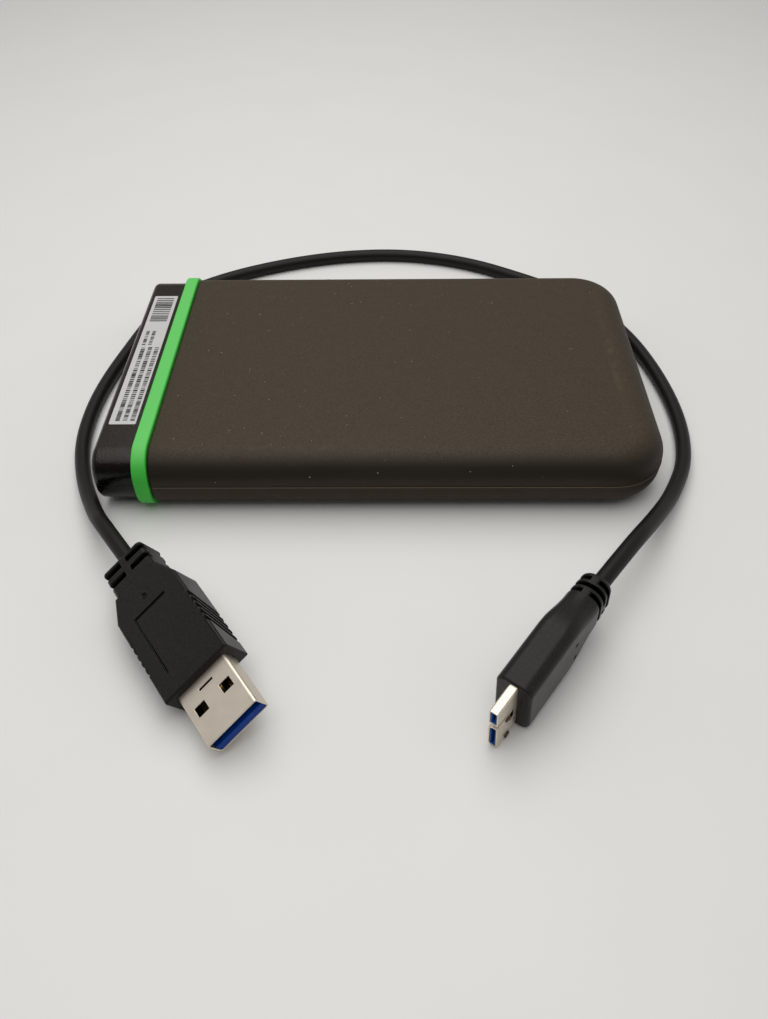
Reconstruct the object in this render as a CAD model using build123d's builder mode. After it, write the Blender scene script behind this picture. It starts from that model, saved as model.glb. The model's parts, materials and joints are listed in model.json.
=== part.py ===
from build123d import *
import os
from math import acos, atan2, cos, degrees, pi, radians, sin, sqrt, tan

os.makedirs("parts", exist_ok=True)

# The drive lies flat with its label side up: X runs from the port end to the closed end,
# Z is up, and the origin is under its middle, at the height of its lowest point.
# The case is sized from the drive unit inside it: about 129.5 x 82.4 x 16.3 mm outside.
port_room = 22.18
hdd_end_gap = 4.2
hdd_side_gap = 2.845
hdd_top_gap = 1.22

# Green band: the ring between the sleeve and the bare end of the case, and the thickest place
band_place = 9.45
band_wide = 3.3
band_edge = 6.9
band_round = 0.45

# Silicone sleeve: a jacket drawn over the case from its closed end
sleeve_step = 0.63
sleeve_wall = 1.6
sleeve_edge = 6.26
sleeve_corner = 12.4
sleeve_gap = 0.25
sleeve_lip = 0.4
seam_high = 0.12
seam_wide = 0.35
rubber_fit = 0.05

# Hard case: two moulded halves that meet at mid height, bare at the port end
cap_step = 1.44
cap_edge = 5.5
cap_rim = 1.5
case_wall = 1.2
end_wall = 1.6
lip_wall = 0.5
lip_high = 0.9
fit = 0.1

# Screws that close the case, hidden under the sleeve
case_screw_gap = 2.18
case_screw_margin = 0.9
case_screw_dia = 2.0
case_screw_head = 3.8
case_screw_head_high = 1.0
case_boss_dia = 4.6

# Label: a thin sticker on the bare end
label_long = 55.3
label_wide = 6.3
label_thick = 0.12
label_place = 4.95
label_shift = 1.2
label_corner = 0.4

# Micro-B socket in the port end, on the bridge board, sized from the plug that enters it
port_wall = 0.25
port_set_back = 0.3
port_fit = 0.2
port_gap = 0.2
port_back = 1.6
port_neck_high = 1.0
port_pin_wide = 0.3
port_pin_thick = 0.1

# Light pipe beside the socket
pipe_place = 14.0
pipe_dia = 1.8
pipe_collar = 2.8
pipe_collar_long = 0.8
pipe_long = 4.2
led_long = 1.4
led_wide = 2.2
led_high = 2.0

# Bridge board, between the socket and the drive unit
bridge_wide = 44.0
bridge_thick = 1.0
bridge_gap = 0.6
bridge_screw_place = 10.5
bridge_screw_spread = 34.0
bridge_screw_dia = 1.6
bridge_screw_head = 3.2
bridge_screw_head_high = 0.9
bridge_post_dia = 4.0
bridge_chip_wide = 7.0
bridge_chip_high = 0.9
bridge_memory_long = 3.5
bridge_memory_wide = 5.6
bridge_memory_place = 9.1

# Drive unit: the standard slim form of 100.2 x 69.85 x 7 mm, sized from its disc and actuator
actuator_room = 29.306
hdd_corner = 2.0
base_wall = 1.6
well_wall = 1.625
cover_air = 0.55
base_floor = 0.7
base_recess = 1.6
cover_thick = 0.5
cover_inset = 0.3
cover_press = 0.2
cover_screw_dia = 1.6
cover_screw_head = 3.0
cover_screw_head_high = 0.5
cover_screw_long = 3.0
cover_screw_inset = 3.6
bay_wall = 3.4
bay_corner = 4.0
bay_place = 7.8

# Serial connector between the drive unit and the bridge board
sata_wide = 33.0
sata_reach = 5.2
sata_socket_high = 3.4
sata_plug_deep = 6.0
sata_plug_wall = 0.6
sata_mouth_high = 2.5
sata_blade_thick = 1.2
sata_blade_long = 4.4
sata_power_wide = 15.5
sata_data_wide = 9.0
sata_blade_gap = 2.4

# Board of the drive unit
board_long = 46.0
board_margin = 4.925
board_thick = 0.7
board_place = 8.0
board_chip_wide = 8.0
board_chip_pitch = 12.8
board_chip_high = 0.6
board_screw_dia = 1.6
board_screw_head = 3.0
board_screw_head_high = 0.5
board_screw_inset = 3.0

# Disc stack
disc_dia = 65.0
disc_bore = 20.0
disc_thick = 0.8
disc_gap = 0.8
hub_dia = 26.0
hub_roof = 0.7
hub_skirt_wall = 1.3
hub_gap = 0.3
hub_rise = 1.8
shaft_dia = 3.5
bearing_dia = 7.0
bearing_high = 0.85
bearing_fit = 0.1
stator_gap = 1.2
stator_poles = 9
stator_pole_wide = 2.4
stator_ring = 1.6
stator_high = 0.8
clamp_dia = 25.0
clamp_thick = 0.6
clamp_screw_dia = 2.0
clamp_screw_head = 4.5
clamp_screw_head_high = 0.45
clamp_screw_long = 1.1

# Actuator: parked on its ramp, swings in over the disc
pivot_wall = 22.742
pivot_clear = 0.5
arm_short = 5.0
park_out = 1.0
arm_thick = 0.5
arm_air = 0.55
arm_hub_dia = 10.0
arm_root_wide = 8.0
arm_tip_wide = 3.4
arm_tip_reach = 21.0
pivot_dia = 4.0
pivot_shoulder = 6.4
pivot_shoulder_high = 0.4
spring_thick = 0.2
spring_lap = 4.0
spring_root_wide = 2.8
spring_tip_wide = 1.2
spring_tab = 2.0
slider_long = 1.2
slider_wide = 0.9
slider_thick = 0.28
coil_inner = 7.6
coil_outer = 17.4
coil_half_angle = 18.0
coil_thick = 1.3
coil_strand = 2.6
yoke_inner = 7.0
yoke_outer = 18.2
yoke_start_angle = 196.0
yoke_sweep_angle = 86.0
yoke_post_angle = 4.0
yoke_thick = 0.7
magnet_thick = 0.5
magnet_inset = 0.8
magnet_margin_angle = 8.0
ramp_past_head = 1.5
ramp_finger = 2.6
ramp_post = 3.0
ramp_lead_angle = 1.3
ramp_sweep_angle = 6.0
ramp_clear = 0.08

# Bumpers round the corners of the drive unit
bumper_long = 13.0
bumper_wide = 11.0
bumper_end = 2.4

# Lead
cable_dia = 3.6
floor_lift = 0.05
a_lead_out = 12.5
b_lead_out = 13.0

# Larger plug, leaning on one long edge
a_x = -31.2
a_y = -90.6
a_turn = -54.0
a_dip = 2.0
a_roll = 30.3
a_wide = 15.6
a_high = 8.0
a_straight = 21.2
a_neck = 26.4
a_neck_wide = 11.0
a_long = 33.4
a_round = 0.6
a_relief_wide = 10.4
a_relief_high = 7.5
a_relief_round = 1.0
a_slot_wide = 1.25
a_slot_deep = 1.5
a_slot_web = 1.5
a_slot_first = 1.3
a_slot_pitch = 2.6
a_grip_count = 5
a_grip_pitch = 1.75
a_grip_start = 5.6
a_grip_wide = 0.9
a_grip_deep = 0.45
a_grip_lean = 28.0
a_panel_corner_x = 18.8
a_panel_corner_y = 4.2
a_panel_long = 14.3
a_panel_wide = 8.0
a_panel_line = 0.4
a_panel_deep = 0.2
a_dot_place = 21.7
a_dot_dia = 1.1
a_dot_deep = 0.3
a_shell_wide = 12.0
a_shell_high = 4.5
a_shell_long = 11.7
a_shell_in = 3.5
a_shell_wall = 0.3
a_shell_round = 0.6
a_window_long = 2.1
a_window_wide = 2.5
a_window_gap = 6.2
a_window_place = 6.6
a_slit_place = 1.9
a_slit_long = 0.45
a_slit_wide = 3.3
a_tongue_thick = 1.9
a_tongue_back = 1.6
a_tongue_set_back = 0.1
a_pin_wide = 1.0
a_pin_long = 6.4
a_pin_thick = 0.1
a_pin_pitch = 2.2
a_pins = 4

# Smaller plug, standing on its narrow edge
b_x = 24.2
b_y = -95.3
b_turn = -127.2
b_dip = 5.0
b_wide = 13.6
b_thick = 7.4
b_round = 2.2
b_front_round = 0.5
b_straight = 14.5
b_neck = 24.4
b_taper_sections = 6
b_long = 30.8
b_relief_wide = 10.2
b_relief_thick = 7.0
b_relief_round = 3.2
b_tip_wide = 9.2
b_tip_thick = 6.4
b_tip_round = 0.9
b_ring_wide = 1.0
b_ring_deep = 1.3
b_ring_web = 1.6
b_ring_first = 1.2
b_ring_pitch = 1.8
b_rings = 3
b_dot_place = 16.5
b_dot_up = 1.2
b_dot_spread = 4.2
b_dot_dia = 0.9
b_dot_deep = 0.3
b_shell_wide = 12.2
b_shell_thick = 1.85
b_shell_long = 6.4
b_shell_in = 3.0
b_shell_wall = 0.25
b_shell_round = 0.35
b_shell_chamfer = 0.55
b_main_wide = 6.9
b_notch_wide = 1.1
b_notch_deep = 4.6
b_window_long = 1.6
b_window_wide = 3.0
b_window_place = 1.6
b_tongue_set_back = 0.15
b_tongue_slot = 0.75
b_tongue_slot_deep = 4.0
b_pin_wide = 0.35
b_pin_thick = 0.1
b_pin_long = 3.0
b_pin_pitch = 0.65
b_pins = 5
b_latch_wide = 0.7
b_latch_long = 1.2
b_latch_high = 0.35
b_latch_place = 3.2
b_latch_spread = 5.9

# Heights and lengths that follow from the sizes above
b_small_wide = b_shell_wide - b_main_wide - b_notch_wide
b_main_mid = -b_shell_wide / 2 + b_main_wide / 2
b_small_mid = b_shell_wide / 2 - b_small_wide / 2
b_notch_mid = b_shell_wide / 2 - b_small_wide - b_notch_wide / 2
b_mouths = ((b_main_mid, b_main_wide), (b_small_mid, b_small_wide))
b_corner_cut = b_shell_chamfer * sqrt(2)
port_wide = b_shell_wide + 2 * (port_fit + port_wall)
port_high = b_shell_thick + 2 * (port_fit + port_wall)
port_deep = b_shell_long + port_fit - port_set_back + port_back
port_tongue_thick = b_tongue_slot - 2 * (b_pin_thick + port_pin_thick)
well_radius = disc_dia / 2 + disc_gap
tub_deep = hub_rise + disc_thick + clamp_thick + clamp_screw_head_high + cover_air
hdd_wide = 2 * (well_radius + well_wall)
pivot_reach = disc_dia / 2 + pivot_clear + arm_hub_dia / 2
pivot_side = hdd_wide / 2 - pivot_wall
pivot_ahead = sqrt(pivot_reach**2 - pivot_side**2)
hdd_long = base_wall + well_radius + pivot_ahead + actuator_room
hdd_high = base_recess + base_floor + tub_deep + cover_thick
length = port_room + hdd_long + hdd_end_gap + case_wall + sleeve_wall + seam_high
width = hdd_wide + 2 * (hdd_side_gap + case_wall + sleeve_wall + sleeve_step)
thickness = hdd_high + 2 * (hdd_top_gap + case_wall + sleeve_wall + sleeve_step)
mid = thickness / 2
port_end = -length / 2
closed_end = length / 2
band_start = port_end + band_place
band_stop = band_start + band_wide
sleeve_start = band_stop + sleeve_gap
sleeve_end = closed_end - seam_high
sleeve_wide = width - 2 * sleeve_step
sleeve_high = thickness - 2 * sleeve_step
cap_wide = width - 2 * cap_step
cap_high = thickness - 2 * cap_step
cap_top = mid + cap_high / 2
case_end = sleeve_end - sleeve_wall
case_wide = sleeve_wide - 2 * sleeve_wall
case_high = sleeve_high - 2 * sleeve_wall
case_edge = sleeve_edge - sleeve_wall
case_corner = sleeve_corner - sleeve_wall
case_low = mid - case_high / 2
hollow_start = port_end + end_wall
hollow_end = case_end - case_wall
hollow_wide = case_wide - 2 * case_wall
hollow_high = case_high - 2 * case_wall
hollow_edge = case_edge - case_wall
hollow_corner = case_corner - case_wall
hollow_low = mid - hollow_high / 2
hollow_top = mid + hollow_high / 2
hdd_end = hollow_end - hdd_end_gap
hdd_start = hdd_end - hdd_long
hdd_low = mid - hdd_high / 2
hdd_top = mid + hdd_high / 2
base_top = hdd_top - cover_thick
tub_floor = hdd_low + base_recess + base_floor
bridge_top = mid - port_high / 2
bridge_low = bridge_top - bridge_thick
bridge_start = hollow_start + bridge_gap
bridge_end = hdd_start - sata_reach
bridge_mid = (bridge_top + bridge_low) / 2


def slab(x_start, x_end, wide, low, high, corner, edge=0):
    """A flat slab, its far corners rounded in plan and its long and far edges rounded over."""
    with BuildPart() as body:
        with BuildSketch(Plane.XY.offset(low)) as plan:
            with Locations(((x_start + x_end) / 2, 0)):
                Rectangle(x_end - x_start, wide)
            fillet(plan.vertices().group_by(Axis.X)[-1], corner)
        extrude(amount=high - low)
        if edge:
            levels = body.faces().filter_by(Axis.Z).sort_by(Axis.Z)
            rims = levels[0].edges().sort_by(Axis.X)[1:] + levels[-1].edges().sort_by(Axis.X)[1:]
            fillet(rims, edge)
    return body.part


def end_view(x):
    """A plane across the drive at one place along it: across to the right, up, facing the closed end."""
    return Plane(origin=(x, 0, mid), x_dir=(0, 1, 0), z_dir=(1, 0, 0))


# Green band: a soft ring stretched into the groove between the sleeve and the bare end
with BuildPart() as band:
    with BuildSketch(end_view(band_start)):
        RectangleRounded(width, thickness, band_edge)
        RectangleRounded(
            case_wide + 2 * rubber_fit,
            case_high + 2 * rubber_fit,
            case_edge + rubber_fit,
            mode=Mode.SUBTRACT,
        )
    extrude(amount=band_wide)
    sides = band.faces().filter_by(Axis.X).sort_by(Axis.X)
    fillet(sides[0].outer_wire().edges() + sides[-1].outer_wire().edges(), band_round)
band.part.label = "band"
export_step(band.part, "parts/band.step")

# Silicone sleeve: one moulded jacket with a fine mould line at mid height
sleeve_body = slab(
    sleeve_start, sleeve_end, sleeve_wide, mid - sleeve_high / 2, mid + sleeve_high / 2,
    sleeve_corner, sleeve_edge,
)
sleeve_seam = slab(
    sleeve_start, closed_end, sleeve_wide + 2 * seam_high, mid - seam_wide / 2, mid + seam_wide / 2,
    sleeve_corner + seam_high,
)
sleeve_hollow = slab(
    band_start, case_end + rubber_fit, case_wide + 2 * rubber_fit,
    case_low - rubber_fit, case_low + case_high + rubber_fit,
    case_corner + rubber_fit, case_edge + rubber_fit,
)
with BuildPart() as sleeve:
    add(sleeve_body)
    mouth = sleeve.faces().filter_by(Axis.X).sort_by(Axis.X)[0]
    fillet(mouth.outer_wire().edges(), sleeve_lip)
    add(sleeve_seam)
    add(sleeve_hollow, mode=Mode.SUBTRACT)
sleeve.part.label = "sleeve"
export_step(sleeve.part, "parts/sleeve.step")

# Hard case: the bare end has a rounded rim, and the rest steps down under the band and sleeve
case_slab = slab(
    band_start - case_wall, case_end, case_wide, case_low, case_low + case_high, case_corner, case_edge
)
case_hollow = slab(
    hollow_start, hollow_end, hollow_wide, hollow_low, hollow_top, hollow_corner, hollow_edge
)
lip_ring = slab(
    hollow_start - lip_wall, hollow_end + lip_wall, hollow_wide + 2 * lip_wall,
    mid, mid + lip_high, hollow_corner + lip_wall,
)
lip_groove = slab(
    hollow_start - lip_wall - fit, hollow_end + lip_wall + fit, hollow_wide + 2 * (lip_wall + fit),
    mid, mid + lip_high + fit, hollow_corner + lip_wall + fit,
)
with BuildPart() as case_body:
    with BuildSketch(end_view(port_end)):
        RectangleRounded(cap_wide, cap_high, cap_edge)
    extrude(amount=band_place)
    fillet(case_body.faces().sort_by(Axis.X)[0].edges(), cap_rim)
    add(case_slab)
    add(case_hollow, mode=Mode.SUBTRACT)

# Openings in the end wall, shared by both halves: the socket's and the light pipe's
with BuildPart() as end_openings:
    with BuildSketch(end_view(port_end - fit)):
        RectangleRounded(port_wide + 2 * port_gap, port_high + 2 * port_gap, port_wall)
        with Locations((pipe_place, 0)):
            Circle(pipe_dia / 2 + rubber_fit)
    extrude(amount=end_wall + 2 * fit)

case_screw_x = hdd_start - bumper_end - case_screw_gap - case_boss_dia / 2
case_screw_y = case_wide / 2 - case_edge - case_screw_head / 2 - case_screw_margin
case_screw_places = [(case_screw_x, -case_screw_y), (case_screw_x, case_screw_y)]
bridge_screw_x = port_end + bridge_screw_place
bridge_screw_places = [
    (bridge_screw_x, -bridge_screw_spread / 2),
    (bridge_screw_x, bridge_screw_spread / 2),
]
case_screw_stop = hollow_top - case_wall / 2

with BuildPart() as case_lower:
    add(case_body.part)
    split(bisect_by=Plane.XY.offset(mid), keep=Keep.BOTTOM)
    add(lip_ring)
    add(case_hollow, mode=Mode.SUBTRACT)
    with BuildSketch(Plane.XY.offset(hollow_low - case_wall / 2)):
        with Locations(*case_screw_places):
            Circle(case_boss_dia / 2)
    extrude(amount=mid - hollow_low + case_wall / 2)
    with BuildSketch(Plane.XY.offset(hollow_low - case_wall / 2)):
        with Locations(*bridge_screw_places):
            Circle(bridge_post_dia / 2)
    extrude(amount=bridge_low - hollow_low + case_wall / 2)
    with BuildSketch(Plane.XY.offset(case_low)):
        with Locations(*case_screw_places):
            Circle(case_screw_dia / 2 + fit)
    extrude(amount=mid - case_low, mode=Mode.SUBTRACT)
    with BuildSketch(Plane.XY.offset(case_low)):
        with Locations(*case_screw_places):
            Circle(case_screw_head / 2 + fit)
    extrude(amount=case_screw_head_high, mode=Mode.SUBTRACT)
    with BuildSketch(Plane.XY.offset(hollow_low)):
        with Locations(*bridge_screw_places):
            Circle(bridge_screw_dia / 2)
    extrude(amount=bridge_low - hollow_low, mode=Mode.SUBTRACT)
    add(end_openings.part, mode=Mode.SUBTRACT)
case_lower.part.label = "case_lower"
export_step(case_lower.part, "parts/case_lower.step")

with BuildPart() as case_upper:
    add(case_body.part)
    split(bisect_by=Plane.XY.offset(mid), keep=Keep.TOP)
    add(lip_groove, mode=Mode.SUBTRACT)
    with BuildSketch(Plane.XY.offset(mid)):
        with Locations(*case_screw_places):
            Circle(case_boss_dia / 2)
    extrude(amount=hollow_top + case_wall / 2 - mid)
    with BuildSketch(Plane.XY.offset(mid)):
        with Locations(*case_screw_places):
            Circle(case_screw_dia / 2)
    extrude(amount=case_screw_stop - mid, mode=Mode.SUBTRACT)
    add(end_openings.part, mode=Mode.SUBTRACT)
case_upper.part.label = "case_upper"
export_step(case_upper.part, "parts/case_upper.step")

# Case screws: countersunk in the lower half and driven up into the upper
with BuildPart() as case_screws:
    with BuildSketch(Plane.XY.offset(case_low)):
        with Locations(*case_screw_places):
            Circle(case_screw_head / 2)
    extrude(amount=case_screw_head_high)
    with BuildSketch(Plane.XY.offset(case_low)):
        with Locations(*case_screw_places):
            Circle(case_screw_dia / 2)
    extrude(amount=case_screw_stop - case_low)
case_screws.part.label = "case_screws"
export_step(case_screws.part, "parts/case_screws.step")

# Label: a sticker on the flat of the bare end
with BuildPart() as label:
    with BuildSketch(Plane.XY.offset(cap_top)):
        with Locations((port_end + label_place, label_shift)):
            RectangleRounded(label_wide, label_long, label_corner)
    extrude(amount=label_thick)
label.part.label = "label"
export_step(label.part, "parts/label.step")

# Micro-B socket: a folded steel shell round a block with two tongues. Behind its plain entry the shell is
# pinched between its two mouths, where the plug has its notch, and its top has holes for the plug's latches.
port_front = port_end + port_set_back
port_block = port_front + port_deep - port_back
port_entry = b_shell_long - b_notch_deep + port_fit - port_set_back
mouth_high = b_shell_thick + 2 * port_fit


def port_mouth(neck_high, cut_sides):
    """The inside of the socket's shell: two mouths and a neck, the larger mouth with cut lower corners."""
    main_half = b_main_wide / 2 + port_fit
    main_low = -mouth_high / 2
    with BuildSketch(mode=Mode.PRIVATE) as inside:
        for mouth_mid, mouth_wide in b_mouths:
            with Locations((-mouth_mid, 0)):
                Rectangle(mouth_wide + 2 * port_fit, mouth_high)
        with Locations((-b_notch_mid, 0)):
            Rectangle(b_notch_wide, neck_high)
        with Locations(*[(-b_main_mid + side * main_half, main_low) for side in cut_sides]):
            Rectangle(b_corner_cut, b_corner_cut, rotation=45, mode=Mode.SUBTRACT)
    return inside.sketch


entry_mouth = port_mouth(mouth_high, (1,))
pinched_mouth = port_mouth(port_neck_high, (-1, 1))
with BuildPart() as port_shell:
    for mouth_shape, long in ((entry_mouth, port_entry + port_wall), (pinched_mouth, port_deep)):
        with BuildSketch(end_view(port_front)):
            offset(mouth_shape, amount=port_wall)
        extrude(amount=long)
    for mouth_shape, long in ((entry_mouth, port_entry), (pinched_mouth, port_deep)):
        with BuildSketch(end_view(port_front)):
            add(mouth_shape)
        extrude(amount=long, mode=Mode.SUBTRACT)
    with BuildSketch(Plane.XY.offset(mid)):
        with Locations((port_end + b_latch_place, -b_main_mid)):
            with GridLocations(1, b_latch_spread, 1, 2):
                Rectangle(b_latch_long + 2 * port_fit, b_latch_wide + 2 * port_fit)
    extrude(amount=port_high, mode=Mode.SUBTRACT)
port_shell.part.label = "port_shell"
export_step(port_shell.part, "parts/port_shell.step")

with BuildPart() as port_tongue:
    with BuildSketch(end_view(port_block)):
        add(pinched_mouth)
    extrude(amount=port_back)
    with BuildSketch(end_view(port_block - b_tongue_slot_deep)):
        for mouth_mid, mouth_wide in b_mouths:
            with Locations((-mouth_mid, 0)):
                Rectangle(mouth_wide - 4 * b_shell_wall - 2 * fit, port_tongue_thick)
    extrude(amount=b_tongue_slot_deep)
port_tongue.part.label = "port_tongue"
export_step(port_tongue.part, "parts/port_tongue.step")

with BuildPart() as port_contacts:
    with BuildSketch(end_view(port_block - b_tongue_slot_deep + fit)):
        for mouth_mid, mouth_wide in b_mouths:
            with Locations((-mouth_mid, (port_tongue_thick + port_pin_thick) / 2)):
                with GridLocations(b_pin_pitch, 1, b_pins, 1):
                    Rectangle(port_pin_wide, port_pin_thick)
    extrude(amount=b_tongue_slot_deep - fit)
port_contacts.part.label = "port_contacts"
export_step(port_contacts.part, "parts/port_contacts.step")

# Light pipe: a clear rod with a collar behind the end wall, lit by a lamp on the board
with BuildPart() as light_pipe:
    with BuildSketch(end_view(port_end)):
        with Locations((pipe_place, 0)):
            Circle(pipe_dia / 2)
    extrude(amount=pipe_long)
    with BuildSketch(end_view(hollow_start)):
        with Locations((pipe_place, 0)):
            Circle(pipe_collar / 2)
    extrude(amount=pipe_collar_long)
light_pipe.part.label = "light_pipe"
export_step(light_pipe.part, "parts/light_pipe.step")

with BuildPart() as led:
    with BuildSketch(Plane.XY.offset(bridge_top)):
        with Locations((port_end + pipe_long + led_long / 2, pipe_place)):
            Rectangle(led_long, led_wide)
    extrude(amount=led_high)
led.part.label = "led"
export_step(led.part, "parts/led.step")

# Bridge board: screwed to two posts in the lower half
bridge_long = bridge_end - bridge_start
bridge_x = (bridge_start + bridge_end) / 2
with BuildPart() as bridge_board:
    with BuildSketch(Plane.XY.offset(bridge_low)):
        with Locations((bridge_x, 0)):
            Rectangle(bridge_long, bridge_wide)
        with Locations(*bridge_screw_places):
            Circle(bridge_screw_dia / 2 + fit, mode=Mode.SUBTRACT)
    extrude(amount=bridge_thick)
bridge_board.part.label = "bridge_board"
export_step(bridge_board.part, "parts/bridge_board.step")

with BuildPart() as bridge_chips:
    with BuildSketch(Plane.XY.offset(bridge_low - bridge_chip_high)):
        with Locations((bridge_x, 0)):
            Rectangle(bridge_chip_wide, bridge_chip_wide)
        with Locations((bridge_x, bridge_memory_place)):
            Rectangle(bridge_memory_long, bridge_memory_wide)
    extrude(amount=bridge_chip_high)
bridge_chips.part.label = "bridge_chips"
export_step(bridge_chips.part, "parts/bridge_chips.step")

with BuildPart() as bridge_screws:
    with BuildSketch(Plane.XY.offset(hollow_low)):
        with Locations(*bridge_screw_places):
            Circle(bridge_screw_dia / 2)
    extrude(amount=bridge_top - hollow_low)
    with BuildSketch(Plane.XY.offset(bridge_top)):
        with Locations(*bridge_screw_places):
            Circle(bridge_screw_head / 2)
    extrude(amount=bridge_screw_head_high)
bridge_screws.part.label = "bridge_screws"
export_step(bridge_screws.part, "parts/bridge_screws.step")

# Serial connector: the board's socket has a nose that goes into the drive unit's plug
blade_span = sata_power_wide + sata_blade_gap + sata_data_wide
power_y = -blade_span / 2 + sata_power_wide / 2
data_y = blade_span / 2 - sata_data_wide / 2
sata_plug_wide = sata_wide + 2 * sata_plug_wall
sata_plug_top = bridge_mid + sata_mouth_high / 2 + sata_plug_wall
sata_nose = sata_plug_deep - sata_plug_wall


def connector_view(x):
    """A plane across the serial connector at one place along the drive, at the bridge board's height."""
    return Plane(origin=(x, 0, bridge_mid), x_dir=(0, 1, 0), z_dir=(1, 0, 0))


with BuildPart() as sata_plug:
    with BuildSketch(Plane.XY.offset(hdd_low)):
        with Locations((hdd_start + sata_plug_deep / 2, 0)):
            Rectangle(sata_plug_deep, sata_plug_wide)
    extrude(amount=sata_plug_top - hdd_low)
    with BuildSketch(connector_view(hdd_start)):
        Rectangle(sata_wide, sata_mouth_high)
    extrude(amount=sata_nose, mode=Mode.SUBTRACT)
    with BuildSketch(connector_view(hdd_start + sata_plug_deep - sata_plug_wall - sata_blade_long)):
        with Locations((power_y, 0)):
            Rectangle(sata_power_wide, sata_blade_thick)
        with Locations((data_y, 0)):
            Rectangle(sata_data_wide, sata_blade_thick)
    extrude(amount=sata_blade_long)
sata_plug.part.label = "sata_plug"
export_step(sata_plug.part, "parts/sata_plug.step")

with BuildPart() as sata_socket:
    with BuildSketch(connector_view(bridge_end)):
        Rectangle(sata_wide, sata_socket_high)
    extrude(amount=sata_reach - fit)
    with BuildSketch(connector_view(bridge_end)):
        Rectangle(sata_wide - 2 * fit, sata_mouth_high - 2 * fit)
    extrude(amount=sata_reach + sata_nose - fit)
    with BuildSketch(connector_view(hdd_start)):
        with Locations((power_y, 0)):
            Rectangle(sata_power_wide + 2 * fit, sata_blade_thick + 2 * fit)
        with Locations((data_y, 0)):
            Rectangle(sata_data_wide + 2 * fit, sata_blade_thick + 2 * fit)
    extrude(amount=sata_nose, mode=Mode.SUBTRACT)
sata_socket.part.label = "sata_socket"
export_step(sata_socket.part, "parts/sata_socket.step")

# Base of the drive unit: a casting with a round well for the disc and a bay for the actuator
spindle_x = hdd_end - base_wall - well_radius
hdd_x = (hdd_start + hdd_end) / 2
bay_start = hdd_start + bay_place
bay_wide = hdd_wide - 2 * bay_wall
side_screw_y = hdd_wide / 2 - bay_wall / 2
corner_screw_y = hdd_wide / 2 - cover_screw_inset
cover_screw_places = [
    (hdd_start + cover_screw_inset, -corner_screw_y),
    (hdd_start + cover_screw_inset, corner_screw_y),
    (hdd_x, -side_screw_y),
    (hdd_x, side_screw_y),
    (hdd_end - cover_screw_inset, -corner_screw_y),
    (hdd_end - cover_screw_inset, corner_screw_y),
]
board_start = hdd_start + board_place
board_x = board_start + board_long / 2
board_low = hdd_low + fit
board_wide = hdd_wide - 2 * board_margin
board_screw_spans = (board_long - 2 * board_screw_inset, board_wide - 2 * board_screw_inset)

with BuildPart() as hdd_base:
    with BuildSketch(Plane.XY.offset(hdd_low)):
        with Locations((hdd_x, 0)):
            RectangleRounded(hdd_long, hdd_wide, hdd_corner)
    extrude(amount=base_top - hdd_low)
    with BuildSketch(Plane.XY.offset(tub_floor)):
        with Locations((spindle_x, 0)):
            Circle(well_radius)
        with Locations(((bay_start + spindle_x) / 2, 0)):
            RectangleRounded(spindle_x - bay_start, bay_wide, bay_corner)
    extrude(amount=base_top - tub_floor, mode=Mode.SUBTRACT)
    with BuildSketch(Plane.XY.offset(hdd_low)):
        with Locations((board_x, 0)):
            Rectangle(board_long + 2 * fit, board_wide + 2 * fit)
    extrude(amount=base_recess, mode=Mode.SUBTRACT)
    with BuildSketch(Plane.XY.offset(hdd_low)):
        with Locations((hdd_start + sata_plug_deep / 2, 0)):
            Rectangle(sata_plug_deep, sata_plug_wide)
    extrude(amount=sata_plug_top - hdd_low, mode=Mode.SUBTRACT)
    with BuildSketch(Plane.XY.offset(base_top - cover_screw_long)):
        with Locations(*cover_screw_places):
            Circle(cover_screw_dia / 2)
    extrude(amount=cover_screw_long, mode=Mode.SUBTRACT)
hdd_base.part.label = "hdd_base"
export_step(hdd_base.part, "parts/hdd_base.step")

# Cover: a steel pressing with a shallow round dish over the disc
with BuildPart() as hdd_cover:
    with BuildSketch(Plane.XY.offset(base_top)):
        with Locations((hdd_x, 0)):
            RectangleRounded(hdd_long - 2 * cover_inset, hdd_wide - 2 * cover_inset, hdd_corner)
        with Locations(*cover_screw_places):
            Circle(cover_screw_dia / 2 + fit, mode=Mode.SUBTRACT)
    extrude(amount=cover_thick)
    with BuildSketch(Plane.XY.offset(hdd_top - cover_press)):
        with Locations((spindle_x, 0)):
            Circle(disc_dia / 2 - disc_gap)
    extrude(amount=cover_press, mode=Mode.SUBTRACT)
hdd_cover.part.label = "hdd_cover"
export_step(hdd_cover.part, "parts/hdd_cover.step")

with BuildPart() as cover_screws:
    with BuildSketch(Plane.XY.offset(base_top - cover_screw_long)):
        with Locations(*cover_screw_places):
            Circle(cover_screw_dia / 2)
    extrude(amount=cover_screw_long + cover_thick)
    with BuildSketch(Plane.XY.offset(hdd_top)):
        with Locations(*cover_screw_places):
            Circle(cover_screw_head / 2)
    extrude(amount=cover_screw_head_high)
cover_screws.part.label = "cover_screws"
export_step(cover_screws.part, "parts/cover_screws.step")

# Board of the drive unit: let into the underside, its chips facing the casting
with BuildPart() as hdd_board:
    with BuildSketch(Plane.XY.offset(board_low)):
        with Locations((board_x, 0)):
            Rectangle(board_long, board_wide)
            with GridLocations(*board_screw_spans, 2, 2):
                Circle(board_screw_dia / 2 + fit, mode=Mode.SUBTRACT)
    extrude(amount=board_thick)
hdd_board.part.label = "hdd_board"
export_step(hdd_board.part, "parts/hdd_board.step")

with BuildPart() as board_chips:
    with BuildSketch(Plane.XY.offset(board_low + board_thick)):
        with Locations((board_x, 0)):
            with GridLocations(board_chip_pitch, board_chip_pitch, 2, 2):
                Rectangle(board_chip_wide, board_chip_wide)
    extrude(amount=board_chip_high)
board_chips.part.label = "board_chips"
export_step(board_chips.part, "parts/board_chips.step")

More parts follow.
